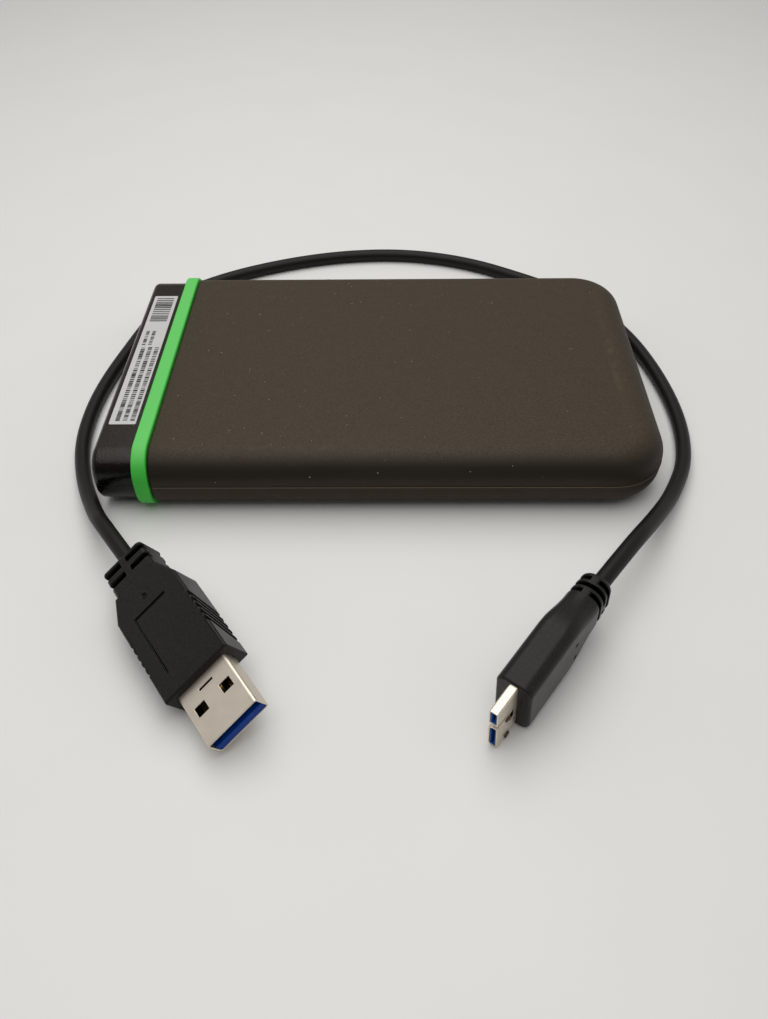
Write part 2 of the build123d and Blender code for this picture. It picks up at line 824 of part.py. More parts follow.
with BuildPart() as board_screws:
    with BuildSketch(Plane.XY.offset(board_low)):
        with Locations((board_x, 0)):
            with GridLocations(*board_screw_spans, 2, 2):
                Circle(board_screw_dia / 2)
    extrude(amount=hdd_low + base_recess - board_low)
    with BuildSketch(Plane.XY.offset(board_low - board_screw_head_high)):
        with Locations((board_x, 0)):
            with GridLocations(*board_screw_spans, 2, 2):
                Circle(board_screw_head / 2)
    extrude(amount=board_screw_head_high)
board_screws.part.label = "board_screws"
export_step(board_screws.part, "parts/board_screws.step")

# Spindle: the hub turns on a shaft in a fixed bearing, round a ring of wound poles
disc_low = tub_floor + hub_rise
disc_top = disc_low + disc_thick
hub_low = tub_floor + hub_gap
hub_roof_low = disc_low - hub_roof
with BuildPart() as spindle_bearing:
    with BuildSketch(Plane.XY.offset(tub_floor)):
        with Locations((spindle_x, 0)):
            Circle(bearing_dia / 2)
            Circle(shaft_dia / 2 + bearing_fit, mode=Mode.SUBTRACT)
    extrude(amount=bearing_high)
spindle_bearing.part.label = "spindle_bearing"
export_step(spindle_bearing.part, "parts/spindle_bearing.step")

stator_dia = hub_dia - 2 * (hub_skirt_wall + stator_gap)
with BuildPart() as spindle_stator:
    with BuildSketch(Plane.XY.offset(tub_floor)):
        with Locations((spindle_x, 0)):
            Circle(bearing_dia / 2 + stator_ring)
            with PolarLocations((stator_dia + bearing_dia) / 4, stator_poles):
                Rectangle((stator_dia - bearing_dia) / 2, stator_pole_wide)
            Circle(bearing_dia / 2, mode=Mode.SUBTRACT)
    extrude(amount=stator_high)
spindle_stator.part.label = "spindle_stator"
export_step(spindle_stator.part, "parts/spindle_stator.step")

with BuildPart() as spindle_hub:
    with BuildSketch(Plane.XY.offset(hub_low)):
        with Locations((spindle_x, 0)):
            Circle(hub_dia / 2)
    extrude(amount=disc_low - hub_low)
    with BuildSketch(Plane.XY.offset(hub_low)):
        with Locations((spindle_x, 0)):
            Circle(hub_dia / 2 - hub_skirt_wall)
            Circle(shaft_dia / 2, mode=Mode.SUBTRACT)
    extrude(amount=hub_roof_low - hub_low, mode=Mode.SUBTRACT)
    with BuildSketch(Plane.XY.offset(disc_low)):
        with Locations((spindle_x, 0)):
            Circle(disc_bore / 2 - rubber_fit)
    extrude(amount=disc_thick - fit)
    with BuildSketch(Plane.XY.offset(disc_top - clamp_screw_long)):
        with Locations((spindle_x, 0)):
            Circle(clamp_screw_dia / 2)
    extrude(amount=clamp_screw_long, mode=Mode.SUBTRACT)
spindle_hub.part.label = "spindle_hub"
export_step(spindle_hub.part, "parts/spindle_hub.step")

with BuildPart() as platter:
    with BuildSketch(Plane.XY.offset(disc_low)):
        with Locations((spindle_x, 0)):
            Circle(disc_dia / 2)
            Circle(disc_bore / 2, mode=Mode.SUBTRACT)
    extrude(amount=disc_thick)
platter.part.label = "platter"
export_step(platter.part, "parts/platter.step")

with BuildPart() as disc_clamp:
    with BuildSketch(Plane.XY.offset(disc_top)):
        with Locations((spindle_x, 0)):
            Circle(clamp_dia / 2)
            Circle(clamp_screw_dia / 2 + fit, mode=Mode.SUBTRACT)
    extrude(amount=clamp_thick)
disc_clamp.part.label = "disc_clamp"
export_step(disc_clamp.part, "parts/disc_clamp.step")

with BuildPart() as clamp_screw:
    with BuildSketch(Plane.XY.offset(disc_top - clamp_screw_long)):
        with Locations((spindle_x, 0)):
            Circle(clamp_screw_dia / 2)
    extrude(amount=clamp_screw_long + clamp_thick)
    with BuildSketch(Plane.XY.offset(disc_top + clamp_thick)):
        with Locations((spindle_x, 0)):
            Circle(clamp_screw_head / 2)
    extrude(amount=clamp_screw_head_high)
clamp_screw.part.label = "clamp_screw"
export_step(clamp_screw.part, "parts/clamp_screw.step")

# Actuator: two arms on one hub reach over and under the disc, and a coil hangs behind
pivot_bearing = degrees(atan2(pivot_side, pivot_ahead))
pivot_x = spindle_x - pivot_ahead
pivot_y = -pivot_side
arm_reach = pivot_reach - arm_short
park_radius = disc_dia / 2 + park_out
arm_parked = degrees(acos((pivot_reach**2 + arm_reach**2 - park_radius**2) / (2 * pivot_reach * arm_reach)))
arm_angle = pivot_bearing + arm_parked
coil_angle = arm_angle + 180
upper_arm_low = disc_top + arm_air
lower_arm_low = disc_low - arm_air - arm_thick
arm_hub_low = lower_arm_low
arm_hub_top = upper_arm_low + arm_thick
coil_low = (disc_low + disc_top) / 2 - coil_thick / 2


def at_pivot(z, angle=0.0):
    """A level plane at the actuator's pivot, its X turned towards one angle."""
    along = (cos(radians(angle)), sin(radians(angle)), 0)
    return Plane(origin=(pivot_x, pivot_y, z), x_dir=along, z_dir=(0, 0, 1))


def sector(inner, outer, start, sweep_angle):
    """The flat shape between two arcs about the origin, over one range of angles."""
    with BuildSketch(mode=Mode.PRIVATE) as shape:
        with BuildLine():
            far = CenterArc((0, 0), outer, start, sweep_angle)
            near = CenterArc((0, 0), inner, start, sweep_angle)
            Line(far @ 0, near @ 0)
            Line(far @ 1, near @ 1)
        make_face()
    return shape.sketch


coil_ring = sector(coil_inner, coil_outer, -coil_half_angle, 2 * coil_half_angle)
yoke_shape = sector(yoke_inner, yoke_outer, yoke_start_angle, yoke_sweep_angle)
yoke_post_shapes = [
    sector(yoke_inner, yoke_outer, angle, yoke_post_angle)
    for angle in (yoke_start_angle, yoke_start_angle + yoke_sweep_angle - yoke_post_angle)
]
magnet_shape = sector(
    yoke_inner + magnet_inset, yoke_outer - magnet_inset,
    yoke_start_angle + magnet_margin_angle, yoke_sweep_angle - 2 * magnet_margin_angle,
)
ramp_inner = arm_reach + ramp_past_head
ramp_start = arm_angle - ramp_lead_angle
ramp_finger_shape = sector(ramp_inner, ramp_inner + ramp_finger + ramp_post, ramp_start, ramp_sweep_angle)
ramp_post_shape = sector(
    ramp_inner + ramp_finger, ramp_inner + ramp_finger + ramp_post, ramp_start, ramp_sweep_angle
)

with BuildPart() as pivot_post:
    with BuildSketch(at_pivot(tub_floor)):
        Circle(pivot_dia / 2)
    extrude(amount=base_top - tub_floor)
    with BuildSketch(at_pivot(tub_floor)):
        Circle(pivot_shoulder / 2)
    extrude(amount=pivot_shoulder_high)
pivot_post.part.label = "pivot_post"
export_step(pivot_post.part, "parts/pivot_post.step")

with BuildPart() as actuator_arm:
    with BuildSketch(at_pivot(arm_hub_low)):
        Circle(arm_hub_dia / 2)
    extrude(amount=arm_hub_top - arm_hub_low)
    for arm_low in (lower_arm_low, upper_arm_low):
        with BuildSketch(at_pivot(arm_low, arm_angle)):
            with BuildLine():
                Polyline(
                    (0, arm_root_wide / 2),
                    (arm_tip_reach, arm_tip_wide / 2),
                    (arm_tip_reach, -arm_tip_wide / 2),
                    (0, -arm_root_wide / 2),
                    close=True,
                )
            make_face()
        extrude(amount=arm_thick)
    with BuildSketch(at_pivot(coil_low, coil_angle)):
        Rectangle(coil_inner, arm_hub_dia / 2, align=(Align.MIN, Align.CENTER))
        Circle(coil_inner, mode=Mode.INTERSECT)
    extrude(amount=coil_thick)
    with BuildSketch(at_pivot(arm_hub_low)):
        Circle(pivot_dia / 2 + bearing_fit)
    extrude(amount=arm_hub_top - arm_hub_low, mode=Mode.SUBTRACT)
actuator_arm.part.label = "actuator_arm"
export_step(actuator_arm.part, "parts/actuator_arm.step")

with BuildPart() as voice_coil:
    with BuildSketch(at_pivot(coil_low, coil_angle)):
        add(coil_ring)
        offset(coil_ring, amount=-coil_strand, mode=Mode.SUBTRACT)
    extrude(amount=coil_thick)
voice_coil.part.label = "voice_coil"
export_step(voice_coil.part, "parts/voice_coil.step")

# Springs and heads: a thin spring on each arm carries a slider that flies next to the disc
spring_start = arm_tip_reach - spring_lap
spring_lows = (lower_arm_low + arm_thick, upper_arm_low - spring_thick)
slider_lows = (spring_lows[0] + spring_thick, spring_lows[1] - slider_thick)
with BuildPart() as suspensions:
    for spring_low in spring_lows:
        with BuildSketch(at_pivot(spring_low, arm_angle)):
            with BuildLine():
                Polyline(
                    (spring_start, spring_root_wide / 2),
                    (arm_reach + spring_tab, spring_tip_wide / 2),
                    (arm_reach + spring_tab, -spring_tip_wide / 2),
                    (spring_start, -spring_root_wide / 2),
                    close=True,
                )
            make_face()
        extrude(amount=spring_thick)
suspensions.part.label = "suspensions"
export_step(suspensions.part, "parts/suspensions.step")

with BuildPart() as head_sliders:
    for slider_low in slider_lows:
        with BuildSketch(at_pivot(slider_low, arm_angle)):
            with Locations((arm_reach, 0)):
                Rectangle(slider_long, slider_wide)
        extrude(amount=slider_thick)
head_sliders.part.label = "head_sliders"
export_step(head_sliders.part, "parts/head_sliders.step")

# Ramp: a plastic finger beside the disc, between the two springs of the parked heads
ramp_low = spring_lows[0] + spring_thick + ramp_clear
ramp_top = spring_lows[1] - ramp_clear
with BuildPart() as ramp:
    with BuildSketch(at_pivot(ramp_low)):
        add(ramp_finger_shape)
    extrude(amount=ramp_top - ramp_low)
    with BuildSketch(at_pivot(tub_floor)):
        add(ramp_post_shape)
    extrude(amount=ramp_top - tub_floor)
ramp.part.label = "ramp"
export_step(ramp.part, "parts/ramp.step")

# Magnet and its two steel yokes, above and below the coil, joined past the ends of its swing
with BuildPart() as magnet_yokes:
    for yoke_low in (tub_floor, base_top - yoke_thick):
        with BuildSketch(at_pivot(yoke_low)):
            add(yoke_shape)
        extrude(amount=yoke_thick)
    with BuildSketch(at_pivot(tub_floor)):
        add(yoke_post_shapes)
    extrude(amount=base_top - tub_floor)
magnet_yokes.part.label = "magnet_yokes"
export_step(magnet_yokes.part, "parts/magnet_yokes.step")

with BuildPart() as magnet:
    with BuildSketch(at_pivot(tub_floor + yoke_thick)):
        add(magnet_shape)
    extrude(amount=magnet_thick)
magnet.part.label = "magnet"
export_step(magnet.part, "parts/magnet.step")

# Bumpers: soft corner blocks that fill the case round the drive unit
bumper_x = (hdd_start - bumper_end, hdd_end + hdd_end_gap)
bumper_room = slab(
    hollow_start, hollow_end - rubber_fit, hollow_wide - 2 * rubber_fit,
    hollow_low + rubber_fit, hollow_top - rubber_fit, hollow_corner - rubber_fit, hollow_edge - rubber_fit,
)
with BuildPart() as hdd_bumpers:
    with BuildSketch(Plane.XY):
        for side in (-1, 1):
            bumper_y = side * (hollow_wide - bumper_wide) / 2
            for bumper_mid in (bumper_x[0] + bumper_long / 2, bumper_x[1] - bumper_long / 2):
                with Locations((bumper_mid, bumper_y)):
                    Rectangle(bumper_long, bumper_wide)
    extrude(amount=thickness)
    add(bumper_room, mode=Mode.INTERSECT)
    with BuildSketch(Plane.XY.offset(hdd_low)):
        with Locations((hdd_x, 0)):
            RectangleRounded(hdd_long, hdd_wide, hdd_corner)
    extrude(amount=hdd_high, mode=Mode.SUBTRACT)
    with BuildSketch(Plane.XY.offset(hdd_top)):
        with Locations(*cover_screw_places):
            Circle(cover_screw_head / 2 + fit)
    extrude(amount=cover_screw_head_high + fit, mode=Mode.SUBTRACT)
    with BuildSketch(Plane.XY.offset(board_low - board_screw_head_high - fit)):
        with Locations((board_x, 0)):
            with GridLocations(*board_screw_spans, 2, 2):
                Circle(board_screw_head / 2 + fit)
    extrude(amount=board_screw_head_high + fit, mode=Mode.SUBTRACT)
hdd_bumpers.part.label = "hdd_bumpers"
export_step(hdd_bumpers.part, "parts/hdd_bumpers.step")

# Larger plug: planes along its top, across its front and along its side
a_lean = radians(a_roll)
a_height = (a_wide / 2 - a_round) * sin(a_lean) + (a_high / 2 - a_round) * cos(a_lean) + a_round + floor_lift
a_top = Plane(Location((a_x, a_y, a_height), (a_roll, a_dip, a_turn), Extrinsic.XYZ))
a_front = Plane(a_top.origin, x_dir=a_top.y_dir, z_dir=a_top.x_dir)
a_side = Plane(a_top.origin, x_dir=a_top.x_dir, z_dir=-a_top.y_dir)
a_up = Axis(a_top.origin, a_top.z_dir)

with BuildPart() as usb_a_overmould:
    with BuildSketch(a_top.offset(-a_high / 2)):
        with BuildLine():
            Polyline(
                (0, a_wide / 2),
                (-a_straight, a_wide / 2),
                (-a_neck, a_neck_wide / 2),
                (-a_neck, -a_neck_wide / 2),
                (-a_straight, -a_wide / 2),
                (0, -a_wide / 2),
                close=True,
            )
        make_face()
    extrude(amount=a_high)
    levels = usb_a_overmould.faces().sort_by(a_up)
    fillet(levels[0].edges() + levels[-1].edges(), a_round)
    with BuildSketch(a_front.offset(-a_long)):
        RectangleRounded(a_relief_wide, a_relief_high, a_relief_round)
    extrude(amount=a_long - a_neck + a_round)
    for row in (a_slot_first, a_slot_first + a_slot_pitch):
        slot_x = -a_long + row
        slot_y = (a_relief_wide + a_slot_web) / 4
        for slot_low in (-a_relief_high / 2, a_relief_high / 2 - a_slot_deep):
            with BuildSketch(a_top.offset(slot_low)):
                with Locations((slot_x, slot_y), (slot_x, -slot_y)):
                    Rectangle(a_slot_wide, (a_relief_wide - a_slot_web) / 2)
            extrude(amount=a_slot_deep, mode=Mode.SUBTRACT)
    for side_low in (-a_wide / 2, a_wide / 2 - a_grip_deep):
        with BuildSketch(a_side.offset(side_low)):
            for notch in range(a_grip_count):
                with Locations((-a_grip_start - notch * a_grip_pitch, 0)):
                    Rectangle(a_grip_wide, 2 * a_high, rotation=a_grip_lean)
        extrude(amount=a_grip_deep, mode=Mode.SUBTRACT)
    with BuildSketch(a_top.offset(a_high / 2 - a_panel_deep)):
        with Locations((-a_panel_corner_x, -a_panel_corner_y)):
            Rectangle(a_panel_long, a_panel_line, align=(Align.MIN, Align.CENTER))
            Rectangle(a_panel_line, a_panel_wide, align=(Align.CENTER, Align.MIN))
    extrude(amount=a_panel_deep, mode=Mode.SUBTRACT)
    with BuildSketch(a_top.offset(a_high / 2 - a_dot_deep)):
        with Locations((-a_dot_place, 0)):
            Circle(a_dot_dia / 2)
    extrude(amount=a_dot_deep, mode=Mode.SUBTRACT)
    with BuildSketch(a_front.offset(-a_shell_in)):
        RectangleRounded(a_shell_wide, a_shell_high, a_shell_round)
    extrude(amount=a_shell_in, mode=Mode.SUBTRACT)
usb_a_overmould.part.label = "usb_a_overmould"
export_step(usb_a_overmould.part, "parts/usb_a_overmould.step")

with BuildPart() as usb_a_shell:
    with BuildSketch(a_front.offset(-a_shell_in)):
        RectangleRounded(a_shell_wide, a_shell_high, a_shell_round)
        RectangleRounded(
            a_shell_wide - 2 * a_shell_wall,
            a_shell_high - 2 * a_shell_wall,
            a_shell_round - a_shell_wall,
            mode=Mode.SUBTRACT,
        )
    extrude(amount=a_shell_in + a_shell_long)
    with BuildSketch(a_top):
        with Locations((a_shell_long - a_window_place, 0)):
            with GridLocations(1, a_window_gap, 1, 2):
                Rectangle(a_window_long, a_window_wide)
    extrude(amount=a_shell_high, both=True, mode=Mode.SUBTRACT)
    with BuildSketch(a_top):
        with Locations((a_slit_place, 0)):
            Rectangle(a_slit_long, a_slit_wide)
    extrude(amount=a_shell_high, mode=Mode.SUBTRACT)
usb_a_shell.part.label = "usb_a_shell"
export_step(usb_a_shell.part, "parts/usb_a_shell.step")

# Insulator: a block at the back of the shell with a tongue along its floor
a_inner_high = a_shell_high - 2 * a_shell_wall
a_inner_wide = a_shell_wide - 2 * a_shell_wall - 2 * fit
a_tongue_top = -a_inner_high / 2 + a_tongue_thick
a_tongue_end = a_shell_long - a_tongue_set_back
with BuildPart() as usb_a_tongue:
    with BuildSketch(a_side):
        with BuildLine():
            Polyline(
                (-a_shell_in, -a_inner_high / 2),
                (a_tongue_end, -a_inner_high / 2),
                (a_tongue_end, a_tongue_top),
                (a_tongue_back, a_tongue_top),
                (a_tongue_back, a_inner_high / 2),
                (-a_shell_in, a_inner_high / 2),
                close=True,
            )
        make_face()
    extrude(amount=a_inner_wide / 2, both=True)
    with BuildSketch(a_front.offset(-a_shell_in)):
        RectangleRounded(a_inner_wide, a_inner_high, a_shell_round - a_shell_wall)
    extrude(amount=a_shell_in + a_shell_long, mode=Mode.INTERSECT)
usb_a_tongue.part.label = "usb_a_tongue"
export_step(usb_a_tongue.part, "parts/usb_a_tongue.step")

with BuildPart() as usb_a_contacts:
    with BuildSketch(a_top.offset(a_tongue_top)):
        with Locations((a_tongue_back + a_pin_long / 2 + fit, 0)):
            with GridLocations(1, a_pin_pitch, 1, a_pins):
                Rectangle(a_pin_long, a_pin_wide)
    extrude(amount=a_pin_thick)
usb_a_contacts.part.label = "usb_a_contacts"
export_step(usb_a_contacts.part, "parts/usb_a_contacts.step")

# Smaller plug: planes across its front and along its wide side
b_height = b_wide / 2 + floor_lift
b_side = Plane(Location((b_x, b_y, b_height), (0, b_dip, b_turn), Extrinsic.XYZ))
b_front = Plane(b_side.origin, x_dir=b_side.y_dir, z_dir=b_side.x_dir)
b_face = Plane(b_side.origin, x_dir=b_side.x_dir, z_dir=-b_side.y_dir)
b_forward = Axis(b_side.origin, b_side.x_dir)

b_tip_corner = b_relief_round - (b_relief_thick - b_tip_thick) / 2
with BuildPart() as usb_b_body:
    with BuildSketch(b_front.offset(-b_straight)):
        RectangleRounded(b_thick, b_wide, b_round)
    extrude(amount=b_straight)
    fillet(usb_b_body.faces().sort_by(b_forward)[-1].edges(), b_front_round)
    for section in range(b_taper_sections):
        part_way = section / (b_taper_sections - 1)
        eased = (1 - cos(pi * part_way)) / 2
        with BuildSketch(b_front.offset(-b_straight - part_way * (b_neck - b_straight))):
            RectangleRounded(
                b_thick + eased * (b_relief_thick - b_thick),
                b_wide + eased * (b_relief_wide - b_wide),
                b_round + eased * (b_relief_round - b_round),
            )
    loft(ruled=True)
    with BuildSketch(b_front.offset(-b_neck)):
        RectangleRounded(b_relief_thick, b_relief_wide, b_relief_round)
    with BuildSketch(b_front.offset(-b_long)):
        RectangleRounded(b_tip_thick, b_tip_wide, b_tip_corner)
    loft(ruled=True)
    fillet(usb_b_body.faces().sort_by(b_forward)[0].edges(), b_tip_round)

# Shell's outlines: one long side of the larger mouth has cut corners, so it enters its socket one way up
b_mouth_thick = b_shell_thick - 2 * b_shell_wall
b_mouth_wide = b_main_wide - 2 * b_shell_wall

with BuildSketch() as shell_outline:
    RectangleRounded(b_shell_thick, b_shell_wide, b_shell_round)
    with Locations((-b_shell_thick / 2, -b_shell_wide / 2)):
        Rectangle(b_corner_cut, b_corner_cut, rotation=45, mode=Mode.SUBTRACT)
b_shell_outline = shell_outline.sketch

with BuildSketch() as main_mouth:
    with Locations((0, b_main_mid)):
        Rectangle(b_mouth_thick, b_mouth_wide)
    with Locations(
        (-b_mouth_thick / 2, b_main_mid - b_mouth_wide / 2),
        (-b_mouth_thick / 2, b_main_mid + b_mouth_wide / 2),
    ):
        Rectangle(b_corner_cut, b_corner_cut, rotation=45, mode=Mode.SUBTRACT)
b_main_mouth = main_mouth.sketch

with BuildPart() as micro_b_overmould:
    add(usb_b_body.part)
    for ring in range(b_rings):
        with BuildSketch(b_front.offset(-b_long + b_ring_first + ring * b_ring_pitch)):
            Rectangle(b_thick, b_wide)
            RectangleRounded(
                b_tip_thick - 2 * b_ring_deep,
                b_tip_wide - 2 * b_ring_deep,
                b_tip_corner - b_ring_deep,
                mode=Mode.SUBTRACT,
            )
            if ring % 2:
                Rectangle(b_thick, b_ring_web, mode=Mode.SUBTRACT)
            else:
                Rectangle(b_ring_web, b_wide, mode=Mode.SUBTRACT)
        extrude(amount=b_ring_wide, mode=Mode.SUBTRACT)
    with BuildSketch(b_face.offset(-b_thick / 2)):
        with Locations((-b_dot_place, b_dot_up), (-b_dot_place, b_dot_up - b_dot_spread)):
            Circle(b_dot_dia / 2)
    extrude(amount=b_dot_deep, mode=Mode.SUBTRACT)
    with BuildSketch(b_front.offset(-b_shell_in)):
        add(b_shell_outline)
    extrude(amount=b_shell_in, mode=Mode.SUBTRACT)
micro_b_overmould.part.label = "micro_b_overmould"
export_step(micro_b_overmould.part, "parts/micro_b_overmould.step")

# Shell: one folded sheet with two mouths and a notch between them
with BuildPart() as micro_b_shell:
    with BuildSketch(b_front.offset(-b_shell_in)):
        add(b_shell_outline)
    extrude(amount=b_shell_in + b_shell_long)
    with BuildSketch(b_front.offset(b_shell_long - b_notch_deep)):
        with Locations((0, b_notch_mid)):
            Rectangle(b_shell_thick, b_notch_wide)
        with Locations((-b_shell_thick / 2, b_main_mid + b_main_wide / 2)):
            Rectangle(b_corner_cut, b_corner_cut, rotation=45)
    extrude(amount=b_notch_deep, mode=Mode.SUBTRACT)
    with BuildSketch(b_front.offset(-b_shell_in)):
        add(b_main_mouth)
        with Locations((0, b_small_mid)):
            Rectangle(b_mouth_thick, b_small_wide - 2 * b_shell_wall)
    extrude(amount=b_shell_in + b_shell_long, mode=Mode.SUBTRACT)
    with BuildSketch(b_face):
        with Locations((b_window_place, b_main_mid + b_main_wide / 4)):
            Rectangle(b_window_long, b_window_wide)
    extrude(amount=-b_shell_thick, mode=Mode.SUBTRACT)
micro_b_shell.part.label = "micro_b_shell"
export_step(micro_b_shell.part, "parts/micro_b_shell.step")

b_tongue_end = b_shell_long - b_tongue_set_back
with BuildPart() as micro_b_tongue:
    with BuildSketch(b_front.offset(-b_shell_in)):
        add(b_main_mouth)
        with Locations((0, b_small_mid)):
            Rectangle(b_mouth_thick, b_small_wide - 2 * b_shell_wall)
    extrude(amount=b_shell_in + b_tongue_end)
    with BuildSketch(b_front.offset(b_tongue_end - b_tongue_slot_deep)):
        for mouth_mid, mouth_wide in b_mouths:
            with Locations((0, mouth_mid)):
                Rectangle(b_tongue_slot, mouth_wide - 4 * b_shell_wall)
    extrude(amount=b_tongue_slot_deep, mode=Mode.SUBTRACT)
    with BuildSketch(b_face.offset(-b_tongue_slot / 2)):
        with Locations((b_window_place, b_main_mid + b_main_wide / 4)):
            Rectangle(b_window_long, b_window_wide)
    extrude(amount=-b_shell_thick, mode=Mode.SUBTRACT)
micro_b_tongue.part.label = "micro_b_tongue"
export_step(micro_b_tongue.part, "parts/micro_b_tongue.step")

with BuildPart() as micro_b_contacts:
    with BuildSketch(b_front.offset(b_tongue_end - b_tongue_slot_deep)):
        for mouth_mid, mouth_wide in b_mouths:
            with Locations(((b_tongue_slot - b_pin_thick) / 2, mouth_mid)):
                with GridLocations(1, b_pin_pitch, 1, b_pins):
                    Rectangle(b_pin_thick, b_pin_wide)
    extrude(amount=b_pin_long)
micro_b_contacts.part.label = "micro_b_contacts"
export_step(micro_b_contacts.part, "parts/micro_b_contacts.step")

with BuildPart() as micro_b_latches:
    with BuildSketch(b_face.offset(-b_shell_thick / 2)):
        with Locations((b_latch_place, b_main_mid)):
            with GridLocations(1, b_latch_spread, 1, 2):
                Rectangle(b_latch_long, b_latch_wide)
    extrude(amount=-b_latch_high)
micro_b_latches.part.label = "micro_b_latches"
export_step(micro_b_latches.part, "parts/micro_b_latches.step")

# Lead: straight out of each plug, then round the drive on the table
cable_lie = cable_dia / 2 + floor_lift
a_exit = a_top.from_local_coords((-a_long, 0, 0))
b_exit = b_side.from_local_coords((-b_long, 0, 0))
cable_points = [
    a_exit,
    a_top.from_local_coords((-a_long - a_lead_out, 0, 0)),
    Vector(-64.3, -45.8, 5.6),
    Vector(-72.3, -31.0, 2.2),
    Vector(-75.5, -15.5, cable_lie),
    Vector(-75.0, 3.5, cable_lie),
    Vector(-72.0, 27.0, cable_lie),
    Vector(-66.3, 48.0, cable_lie),
    Vector(-51.0, 60.8, cable_lie),
    Vector(-32.5, 69.0, cable_lie),
    Vector(-13.0, 74.1, cable_lie),
    Vector(6.8, 75.1, cable_lie),
    Vector(26.0, 69.3, cable_lie),
    Vector(43.0, 58.9, cable_lie),
    Vector(58.5, 48.0, cable_lie),
    Vector(69.8, 31.0, cable_lie),
    Vector(72.6, 12.0, cable_lie),
    Vector(74.9, -7.5, cable_lie),
    Vector(72.9, -25.0, 2.3),
    Vector(66.3, -38.2, 3.6),
    Vector(59.0, -49.3, 7.0),
    b_side.from_local_coords((-b_long - b_lead_out, 0, 0)),
    b_exit,
]
cable_runs = [after - before for before, after in zip(cable_points, cable_points[1:])]
cable_radii = []
for run, next_run in zip(cable_runs, cable_runs[1:]):
    half_turn = radians(run.get_angle(next_run) / 2)
    cable_radii.append(0.45 * min(run.length, next_run.length) / tan(half_turn))
print("lead radii", [round(radius, 1) for radius in cable_radii])

with BuildPart() as cable:
    with BuildLine() as route:
        FilletPolyline(*cable_points, radius=cable_radii)
    with BuildSketch(Plane(route.line @ 0, z_dir=route.line % 0)):
        Circle(cable_dia / 2)
    sweep()
cable.part.label = "cable"
export_step(cable.part, "parts/cable.step")
cable_long = sum(edge.length for edge in route.edges())
section_volume = pi * cable_dia**2 / 4 * cable_long
print("lead length", round(cable_long, 1))
print("lead volume over section times length", round(cable.part.volume / section_volume, 6))
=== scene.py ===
import json
from math import cos, pi, radians, sin

import bmesh
import bpy
from mathutils import Matrix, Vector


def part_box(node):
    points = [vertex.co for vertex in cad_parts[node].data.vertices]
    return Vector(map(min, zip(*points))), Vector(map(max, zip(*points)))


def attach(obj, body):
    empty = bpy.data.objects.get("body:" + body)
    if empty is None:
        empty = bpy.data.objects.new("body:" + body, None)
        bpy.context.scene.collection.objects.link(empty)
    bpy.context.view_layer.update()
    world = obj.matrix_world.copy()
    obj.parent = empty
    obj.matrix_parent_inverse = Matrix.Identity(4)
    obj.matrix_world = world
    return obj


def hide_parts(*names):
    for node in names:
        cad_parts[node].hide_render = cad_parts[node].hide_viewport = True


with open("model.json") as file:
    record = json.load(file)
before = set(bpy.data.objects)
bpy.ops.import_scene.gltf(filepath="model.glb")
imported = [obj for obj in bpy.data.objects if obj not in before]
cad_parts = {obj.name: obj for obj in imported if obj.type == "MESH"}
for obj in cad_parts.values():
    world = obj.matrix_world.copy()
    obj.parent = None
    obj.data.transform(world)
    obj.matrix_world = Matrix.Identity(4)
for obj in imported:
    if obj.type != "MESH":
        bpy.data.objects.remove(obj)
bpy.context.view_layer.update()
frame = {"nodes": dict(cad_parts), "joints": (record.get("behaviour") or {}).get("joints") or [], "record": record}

# Drive unit's base and top cover. The base is one aluminium die casting, left as cast with a dull skin,
# and the cover is pressed from stainless sheet with a brushed face and screwed down on it.


def linear(hex_colour):
    """Scene-linear colour of an sRGB hex value."""
    channels = [int(hex_colour[i:i + 2], 16) / 255 for i in (1, 3, 5)]
    return tuple(c / 12.92 if c <= 0.04045 else ((c + 0.055) / 1.055) ** 2.4 for c in channels) + (1.0,)


def add_node(tree, kind, inputs, **settings):
    """Adds a node with its settings; an input given as a socket is linked, any other is set as a value.

    A colour Mix has its factor at input 0 and its two colours at 6 and 7.
    """
    node = tree.nodes.new(kind)
    for name, value in settings.items():
        setattr(node, name, value)
    for key, value in inputs.items():
        if isinstance(value, bpy.types.NodeSocket):
            tree.links.new(value, node.inputs[key])
        else:
            node.inputs[key].default_value = value
    return node


def start_material(name):
    """A new material, its empty node tree and the socket of its Object coordinates."""
    material = bpy.data.materials.new(name)
    material.use_nodes = True
    tree = material.node_tree
    tree.nodes.clear()
    return material, tree, add_node(tree, "ShaderNodeTexCoord", {}).outputs["Object"]


def dress(material, slot, *nodes):
    """Gives CAD nodes their finish."""
    for name in nodes:
        node = frame["nodes"][name]
        node.data.materials.clear()
        node.data.materials.append(material)


# Die-cast aluminium: a grey skin with faint flow clouds some 6 mm wide over a pebbled 0.5 mm grain.
cast_aluminium, tree, place = start_material("die_cast_aluminium")
clouds = add_node(tree, "ShaderNodeTexNoise", {"Vector": place, "Scale": 1000 / 6, "Detail": 3})
grain = add_node(tree, "ShaderNodeTexNoise", {"Vector": place, "Scale": 1000 / 0.5, "Detail": 2})
tint = add_node(tree, "ShaderNodeMix", {0: clouds.outputs[0], 6: linear("#a9abad"), 7: linear("#bfc1c3")},
                data_type="RGBA")
rough = add_node(tree, "ShaderNodeMapRange", {"Value": clouds.outputs[0], "To Min": 0.42, "To Max": 0.6})
pebble = add_node(tree, "ShaderNodeBump", {
    "Height": grain.outputs[0], "Strength": 0.5, "Distance": 0.00004})
skin = add_node(tree, "ShaderNodeBsdfPrincipled", {
    "Base Color": tint.outputs[2], "Metallic": 1.0, "Roughness": rough.outputs[0],
    "Normal": pebble.outputs[0]})
add_node(tree, "ShaderNodeOutputMaterial", {"Surface": skin.outputs[0]})
dress(cast_aluminium, "cast_aluminium", "hdd_base")

